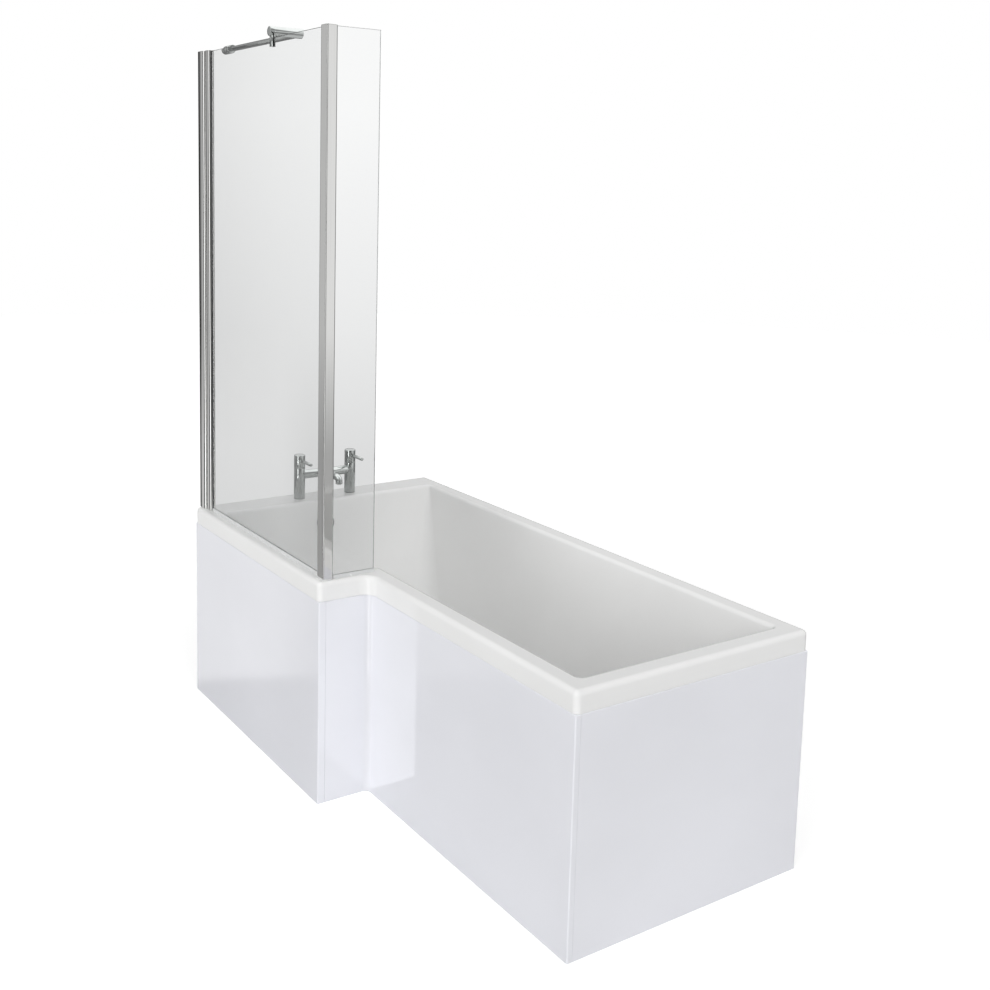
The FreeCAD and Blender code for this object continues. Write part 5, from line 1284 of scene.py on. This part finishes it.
class SHOWERBATH_OT_overflow(Operator):
    """Build the ribbed overflow hose, and finish the rose and elbow"""
    bl_idname = "showerbath.overflow"
    bl_label = "Overflow"

    def execute(self, context):
        sizes = context.scene.fitting_sizes
        plastic = pipe_finish(context.scene)
        low, high, middle = span("overflow_hose")
        radius = (high[1] - low[1]) / 2
        bore = radius - sizes.hose_wall
        x, z = low[0] + radius, low[2] + radius
        route = [(x, high[2]), (x, z), (high[0], z)]
        rounds = [0, sizes.hose_bend, 0]
        grid = pipe(route, rounds, middle[1], radius, bore, columns=32, steps=24, rib=sizes.hose_rib)
        add_piece("ribbed_hose", [grid], plastic, "waste_plastic", "bath", "overflow_hose", sharp=60)
        dress(plastic, "overflow_elbow")
        dress(chrome_finish(context.scene), "overflow_rose")
        return {"FINISHED"}


class SHOWERBATH_OT_legs(Operator):
    """Build the threaded studs, nuts and feet, and finish the board, rails and battens"""
    bl_idname = "showerbath.legs"
    bl_label = "Legs and base"

    def execute(self, context):
        sizes = context.scene.under_sizes
        zinc = zinc_finish(context.scene)
        spots = self.spots(sizes)
        low, high = span("leg_studs")[:2]
        section = thread_wall(sizes.stud, low[2], high[2], sizes.thread, rows=4)
        cut = threaded(sizes.stud, sizes.thread, sizes.thread_depth)
        grids = [turned(section, spot, columns=16, shape=cut) for spot in spots]
        add_piece("threaded_studs", grids, zinc, "zinc", "bath", "leg_studs", sharp=60)
        boss_top, rail_top = span("leg_nuts")[0][2], span("leg_rail_foot")[1][2]
        across, tall = sizes.nut_across, sizes.nut_height
        cut = hexagon(across)
        grids = []
        for height in (boss_top, rail_top - sizes.rail_wall - tall, rail_top):
            section = nut_section(across, sizes.stud + FIT, height, height + tall)
            grids += [turned(section, spot, columns=48, joined=True, shape=cut) for spot in spots]
        add_piece("lock_nuts", grids, zinc, "zinc", "bath", "leg_nuts", sharp=25)
        grids = [turned(self.foot_section(sizes), spot) for spot in spots]
        add_piece("moulded_feet", grids, foot_finish(context.scene), "foot_plastic", "bath", "leg_feet")
        dress(zinc, "leg_rail_foot", "leg_rail_middle", "leg_rail_tap", "rail_screws", "panel_clips")
        dress(board_finish(context.scene), "base_board")
        dress(batten_finish(context.scene), "panel_battens")
        return {"FINISHED"}

    def spots(self, sizes):
        """Floor points of the six legs: an overhang in from the ends of each rail."""
        spots = []
        for node in ("leg_rail_foot", "leg_rail_middle", "leg_rail_tap"):
            low, high, middle = span(node)
            spots += [(middle[0], y, 0) for y in (low[1] + sizes.overhang, high[1] - sizes.overhang)]
        return spots

    def foot_section(self, sizes):
        """Half section of a foot: a round pad, and a socket that flares into it."""
        low, high = span("leg_feet")[:2]
        pad, boss, flare = sizes.foot_radius, sizes.foot_boss, sizes.foot_flare
        pad_top = low[2] + sizes.foot_pad
        corners = [(pad * 0.6, low[2]), (pad, low[2]), (pad, pad_top), (boss + 2 * flare, pad_top + flare),
                   (boss, high[2]), (sizes.foot_bore, high[2])]
        rounds = np.array([0, 1, 2.5, 3, 1.2, 0]) * MM
        return eased_line(corners, rounds, steps=6)[0]


# Stage

def set_or_link(tree, value, socket):
    """Puts a number or another node's output into a socket."""
    if isinstance(value, bpy.types.NodeSocket):
        tree.links.new(value, socket)
    else:
        socket.default_value = value


def combined(tree, operation, first, second):
    """Two numbers or outputs combined by a Math node."""
    node = tree.nodes.new("ShaderNodeMath")
    node.operation = operation
    set_or_link(tree, first, node.inputs[0])
    set_or_link(tree, second, node.inputs[1])
    return node.outputs["Value"]


def grey_stops(*stops):
    """Grey ramp stops from (place, tone) pairs."""
    return [(place, (tone, tone, tone, 1.0)) for place, tone in stops]


# Studio floor: radii of its rings in metres, and how far it lies under the part
FLOOR_RINGS = (0.4, 1.5, 4.0, 12.0)
FLOOR_COLUMNS = 96
FLOOR_DROP = 0.5 * MM

# Soft keys: the property of the strength, the turn from +X and the rise, both in degrees
KEYS = (("front_key", -75, 15), ("end_key", -12, 36), ("back_key", 130, 20))

# Cosines of the angle from a key's middle to its edge and to its full strength
KEY_EDGE = 0.86
KEY_CORE = 0.98

# Backdrop behind the glass: sines of its lowest and highest rise, tones between, and where it ends
BACKDROP_RISE = (-0.30, 0.10)
BACKDROP_TONES = ((0.0, 0.72), (0.55, 0.87), (0.9, 0.97))
BACKDROP_END = (0.16, 0.24)

# Mirrored room, row by row: shares of a turn from -X, with the tone there
FLOOR_UNDERFOOT = ((0.00, 0.70), (0.50, 0.80))
FLOOR_BY_WALLS = (
    (0.00, 0.02), (0.12, 0.02), (0.30, 0.12), (0.336, 0.30), (0.50, 0.25), (0.575, 0.30), (0.70, 0.15),
)
LOW_WALLS = (
    (0.00, 0.15), (0.030, 0.04), (0.050, 0.04), (0.055, 0.60), (0.070, 0.72), (0.0735, 0.38),
    (0.085, 0.36), (0.10, 0.30), (0.15, 0.20), (0.27, 0.18), (0.31, 0.04), (0.322, 0.04), (0.327, 6.0),
    (0.348, 6.0), (0.355, 0.12), (0.425, 0.14), (0.50, 0.18), (0.55, 0.45), (0.575, 0.50), (0.60, 0.45),
    (0.68, 0.20), (0.80, 0.18), (0.93, 0.15),
)
MIDDLE_WALLS = (
    (0.00, 0.10), (0.030, 0.02), (0.051, 0.02), (0.055, 0.20), (0.060, 0.34), (0.0705, 0.56),
    (0.085, 0.70), (0.11, 0.60), (0.15, 0.25), (0.25, 0.22), (0.305, 0.20), (0.315, 3.0), (0.35, 3.0),
    (0.36, 0.12), (0.42, 0.10), (0.49, 0.10), (0.53, 0.60), (0.575, 0.95), (0.62, 0.90), (0.68, 0.30),
    (0.78, 0.25), (0.90, 0.14),
)
HIGH_WALLS = (
    (0.00, 0.40), (0.06, 0.40), (0.09, 0.90), (0.20, 0.50), (0.42, 0.30), (0.585, 0.40), (0.61, 1.1),
    (0.86, 1.1), (0.94, 0.85), (0.96, 0.40),
)
CEILING = ((0.00, 1.7), (0.42, 1.7), (0.46, 0.40), (0.585, 0.40), (0.61, 1.8), (1.00, 1.7))

# Sines of the rises between which each row takes over from the one below it
ROOM_ROWS = (
    (-0.70, -0.58, FLOOR_BY_WALLS),
    (-0.393, -0.387, LOW_WALLS),
    (-0.22, -0.12, MIDDLE_WALLS),
    (0.13, 0.20, HIGH_WALLS),
    (0.48, 0.58, CEILING),
)


class SHOWERBATH_OT_stage(Operator):
    """Set the floor, the soft studio light and the camera"""
    bl_idname = "showerbath.stage"
    bl_label = "Stage"

    def execute(self, context):
        sizes = context.scene.stage_sizes
        context.scene.view_settings.view_transform = "Standard"
        self.floor(context.scene, sizes)
        self.world(context.scene, sizes)
        self.camera(context.scene)
        return {"FINISHED"}

    def floor(self, scene, sizes):
        """A round, level floor: rings of growing radius about the origin."""
        radius = np.array(FLOOR_RINGS)[:, None]
        angle = np.linspace(0, FULL_TURN, FLOOR_COLUMNS, endpoint=False)[None, :]
        drop = np.full((len(FLOOR_RINGS), FLOOR_COLUMNS), -FLOOR_DROP)
        points = np.stack([radius * np.cos(angle), radius * np.sin(angle), drop], axis=-1)
        quads, caps = grid_faces(len(FLOOR_RINGS), FLOOR_COLUMNS, False, True)
        faces = quads[:, ::-1].tolist() + [caps[0][::-1].tolist()]
        mesh = bpy.data.meshes.new("studio_floor")
        mesh.from_pydata(points.reshape(-1, 3), [], faces)
        mesh.materials.append(self.floor_finish(sizes))
        floor = bpy.data.objects.new("studio_floor", mesh)
        floor.visible_glossy = False
        floor.visible_transmission = False
        scene.collection.objects.link(floor)

    def floor_finish(self, sizes):
        """Matt pale floor that is seen as white where no shadow falls."""
        matt = {"Roughness": 0.9, "Specular IOR Level": 0.0, "Emission Color": (1, 1, 1, 1)}
        finish, tree, shader, place = new_surface("studio floor", matt)
        drift = pattern_on(tree, place, GRAIN, (1, 1, 1))
        stops = [(0.3, shade(sizes.floor, 0.995)), (0.7, shade(sizes.floor, 1.005))]
        tree.links.new(ramp(tree, drift, stops), shader.inputs["Base Color"])
        path = tree.nodes.new("ShaderNodeLightPath")
        glow = combined(tree, "MULTIPLY", path.outputs["Is Camera Ray"], sizes.floor_glow)
        tree.links.new(glow, shader.inputs["Emission Strength"])
        return finish

    def world(self, scene, sizes):
        """White to the camera, a pale backdrop through the glass, a dome with soft keys to the
        surfaces, and a room of pale and dark walls to what mirrors it."""
        world = bpy.data.worlds.new("studio")
        scene.world = world
        world.use_nodes = True
        tree = world.node_tree
        tree.nodes.clear()
        output = tree.nodes.new("ShaderNodeOutputWorld")
        way = tree.nodes.new("ShaderNodeTexCoord").outputs["Generated"]
        path = tree.nodes.new("ShaderNodeLightPath").outputs
        rise = height_of(tree, way)
        lit = self.background(tree, strength=self.dome(tree, way, sizes))
        mirrored = self.background(tree, colour=self.walls(tree, way, rise), strength=sizes.mirrored)
        tone = ramp(tree, remap(tree, rise, *BACKDROP_RISE), grey_stops(*BACKDROP_TONES))
        backdrop = self.background(tree, colour=tone)
        through = self.either(tree, remap(tree, rise, *BACKDROP_END), backdrop, lit)
        white = self.background(tree)
        mirrors = combined(tree, "MINIMUM", path["Glossy Depth"], 1.0)
        through = self.either(tree, mirrors, through, mirrored)
        room = self.either(tree, path["Is Glossy Ray"], lit, mirrored)
        room = self.either(tree, path["Is Transmission Ray"], room, through)
        seen = self.either(tree, path["Is Camera Ray"], room, white)
        tree.links.new(seen, output.inputs["Surface"])

    def background(self, tree, colour=None, strength=1.0):
        """A background shader: white, or a colour output, at a strength."""
        node = tree.nodes.new("ShaderNodeBackground")
        node.inputs["Color"].default_value = (1, 1, 1, 1)
        if colour is not None:
            tree.links.new(colour, node.inputs["Color"])
        set_or_link(tree, strength, node.inputs["Strength"])
        return node.outputs["Background"]

    def either(self, tree, choice, first, second):
        """The first shader where the choice is 0 and the second where it is 1."""
        node = tree.nodes.new("ShaderNodeMixShader")
        tree.links.new(choice, node.inputs["Fac"])
        tree.links.new(first, node.inputs[1])
        tree.links.new(second, node.inputs[2])
        return node.outputs["Shader"]

    def dome(self, tree, way, sizes):
        """Strength of the light from a direction: an even dome, and soft keys in wide cones."""
        strength = sizes.dome
        for name, turn, rise in KEYS:
            key = self.key(tree, way, math.radians(turn), math.radians(rise), getattr(sizes, name))
            strength = combined(tree, "ADD", key, strength)
        return strength

    def key(self, tree, way, turn, rise, strength):
        """A soft light in a cone about the direction that a turn and a rise give."""
        toward = tree.nodes.new("ShaderNodeVectorMath")
        toward.operation = "DOT_PRODUCT"
        toward.inputs[1].default_value = (math.cos(turn) * math.cos(rise), math.sin(turn) * math.cos(rise),
                                          math.sin(rise))
        tree.links.new(way, toward.inputs[0])
        return remap(tree, toward.outputs["Value"], KEY_EDGE, KEY_CORE, high=strength, smooth=True)

    def walls(self, tree, way, rise):
        """Tone of the mirrored room: a floor that is pale underfoot and dark towards the walls, three
        rows of wall bands and a pale ceiling."""
        turn = tree.nodes.new("ShaderNodeTexGradient")
        turn.gradient_type = "RADIAL"
        tree.links.new(way, turn.inputs["Vector"])
        tone = ramp(tree, turn.outputs["Fac"], grey_stops(*FLOOR_UNDERFOOT))
        for start, end, stops in ROOM_ROWS:
            band = ramp(tree, turn.outputs["Fac"], grey_stops(*stops))
            tone = self.blend(tree, remap(tree, rise, start, end), tone, band)
        return tone

    def blend(self, tree, share, first, second):
        """The first colour where the share is 0, the second where it is 1."""
        node = tree.nodes.new("ShaderNodeMix")
        node.data_type = "RGBA"
        colours = [socket for socket in node.inputs if socket.type == "RGBA"]
        tree.links.new(share, node.inputs["Factor"])
        tree.links.new(first, colours[0])
        tree.links.new(second, colours[1])
        return [socket for socket in node.outputs if socket.type == "RGBA"][0]

    def camera(self, scene):
        """The photograph's place and angle, found by a fit to corners of the bath and screen."""
        lens = bpy.data.cameras.new("photo camera")
        lens.sensor_width = 36.0
        lens.lens = 43.5235
        lens.shift_x = 0.0556
        lens.shift_y = -0.1505
        holder = bpy.data.objects.new("photo camera", lens)
        holder.location = (2.6386, -1.7809, 1.6111)
        holder.rotation_euler = [math.radians(turn) for turn in (82.4605, -1.1896, 57.2545)]
        scene.collection.objects.link(holder)
        scene.camera = holder


OPERATORS = (
    SHOWERBATH_OT_moulded_bath,
    SHOWERBATH_OT_panels,
    SHOWERBATH_OT_glass_panes,
    SHOWERBATH_OT_screen_profiles,
    SHOWERBATH_OT_glass_seals,
    SHOWERBATH_OT_support_bar,
    SHOWERBATH_OT_tap_body,
    SHOWERBATH_OT_tap_handles,
    SHOWERBATH_OT_waste_and_plug,
    SHOWERBATH_OT_overflow,
    SHOWERBATH_OT_legs,
    SHOWERBATH_OT_stage,
)

GROUPS = {
    "bath_sizes": BathSizes,
    "panel_sizes": PanelSizes,
    "screen_sizes": ScreenSizes,
    "fitting_sizes": FittingSizes,
    "under_sizes": UnderSizes,
    "stage_sizes": StageSizes,
}


class SHOWERBATH_PT_pieces(Panel):
    """Lists the pieces of the shower bath, with the sizes and colours that they take"""
    bl_label = "Shower bath"
    bl_idname = "SHOWERBATH_PT_pieces"
    bl_space_type = "VIEW_3D"
    bl_region_type = "UI"
    bl_category = "Shower bath"

    def draw(self, context):
        for operator in OPERATORS:
            self.layout.operator(operator.bl_idname)
        for name, group in GROUPS.items():
            box = self.layout.box()
            box.label(text=group.__doc__)
            values = getattr(context.scene, name)
            for key in group.__annotations__:
                box.prop(values, key)


CLASSES = tuple(GROUPS.values()) + OPERATORS + (SHOWERBATH_PT_pieces,)


def register():
    for item in CLASSES:
        bpy.utils.register_class(item)
    for name, group in GROUPS.items():
        setattr(bpy.types.Scene, name, PointerProperty(type=group))


def unregister():
    for name in GROUPS:
        delattr(bpy.types.Scene, name)
    for item in reversed(CLASSES):
        bpy.utils.unregister_class(item)


def main():
    register()
    for operator in OPERATORS:
        family, name = operator.bl_idname.split(".")
        getattr(getattr(bpy.ops, family), name)()


if __name__ == "__main__":
    main()
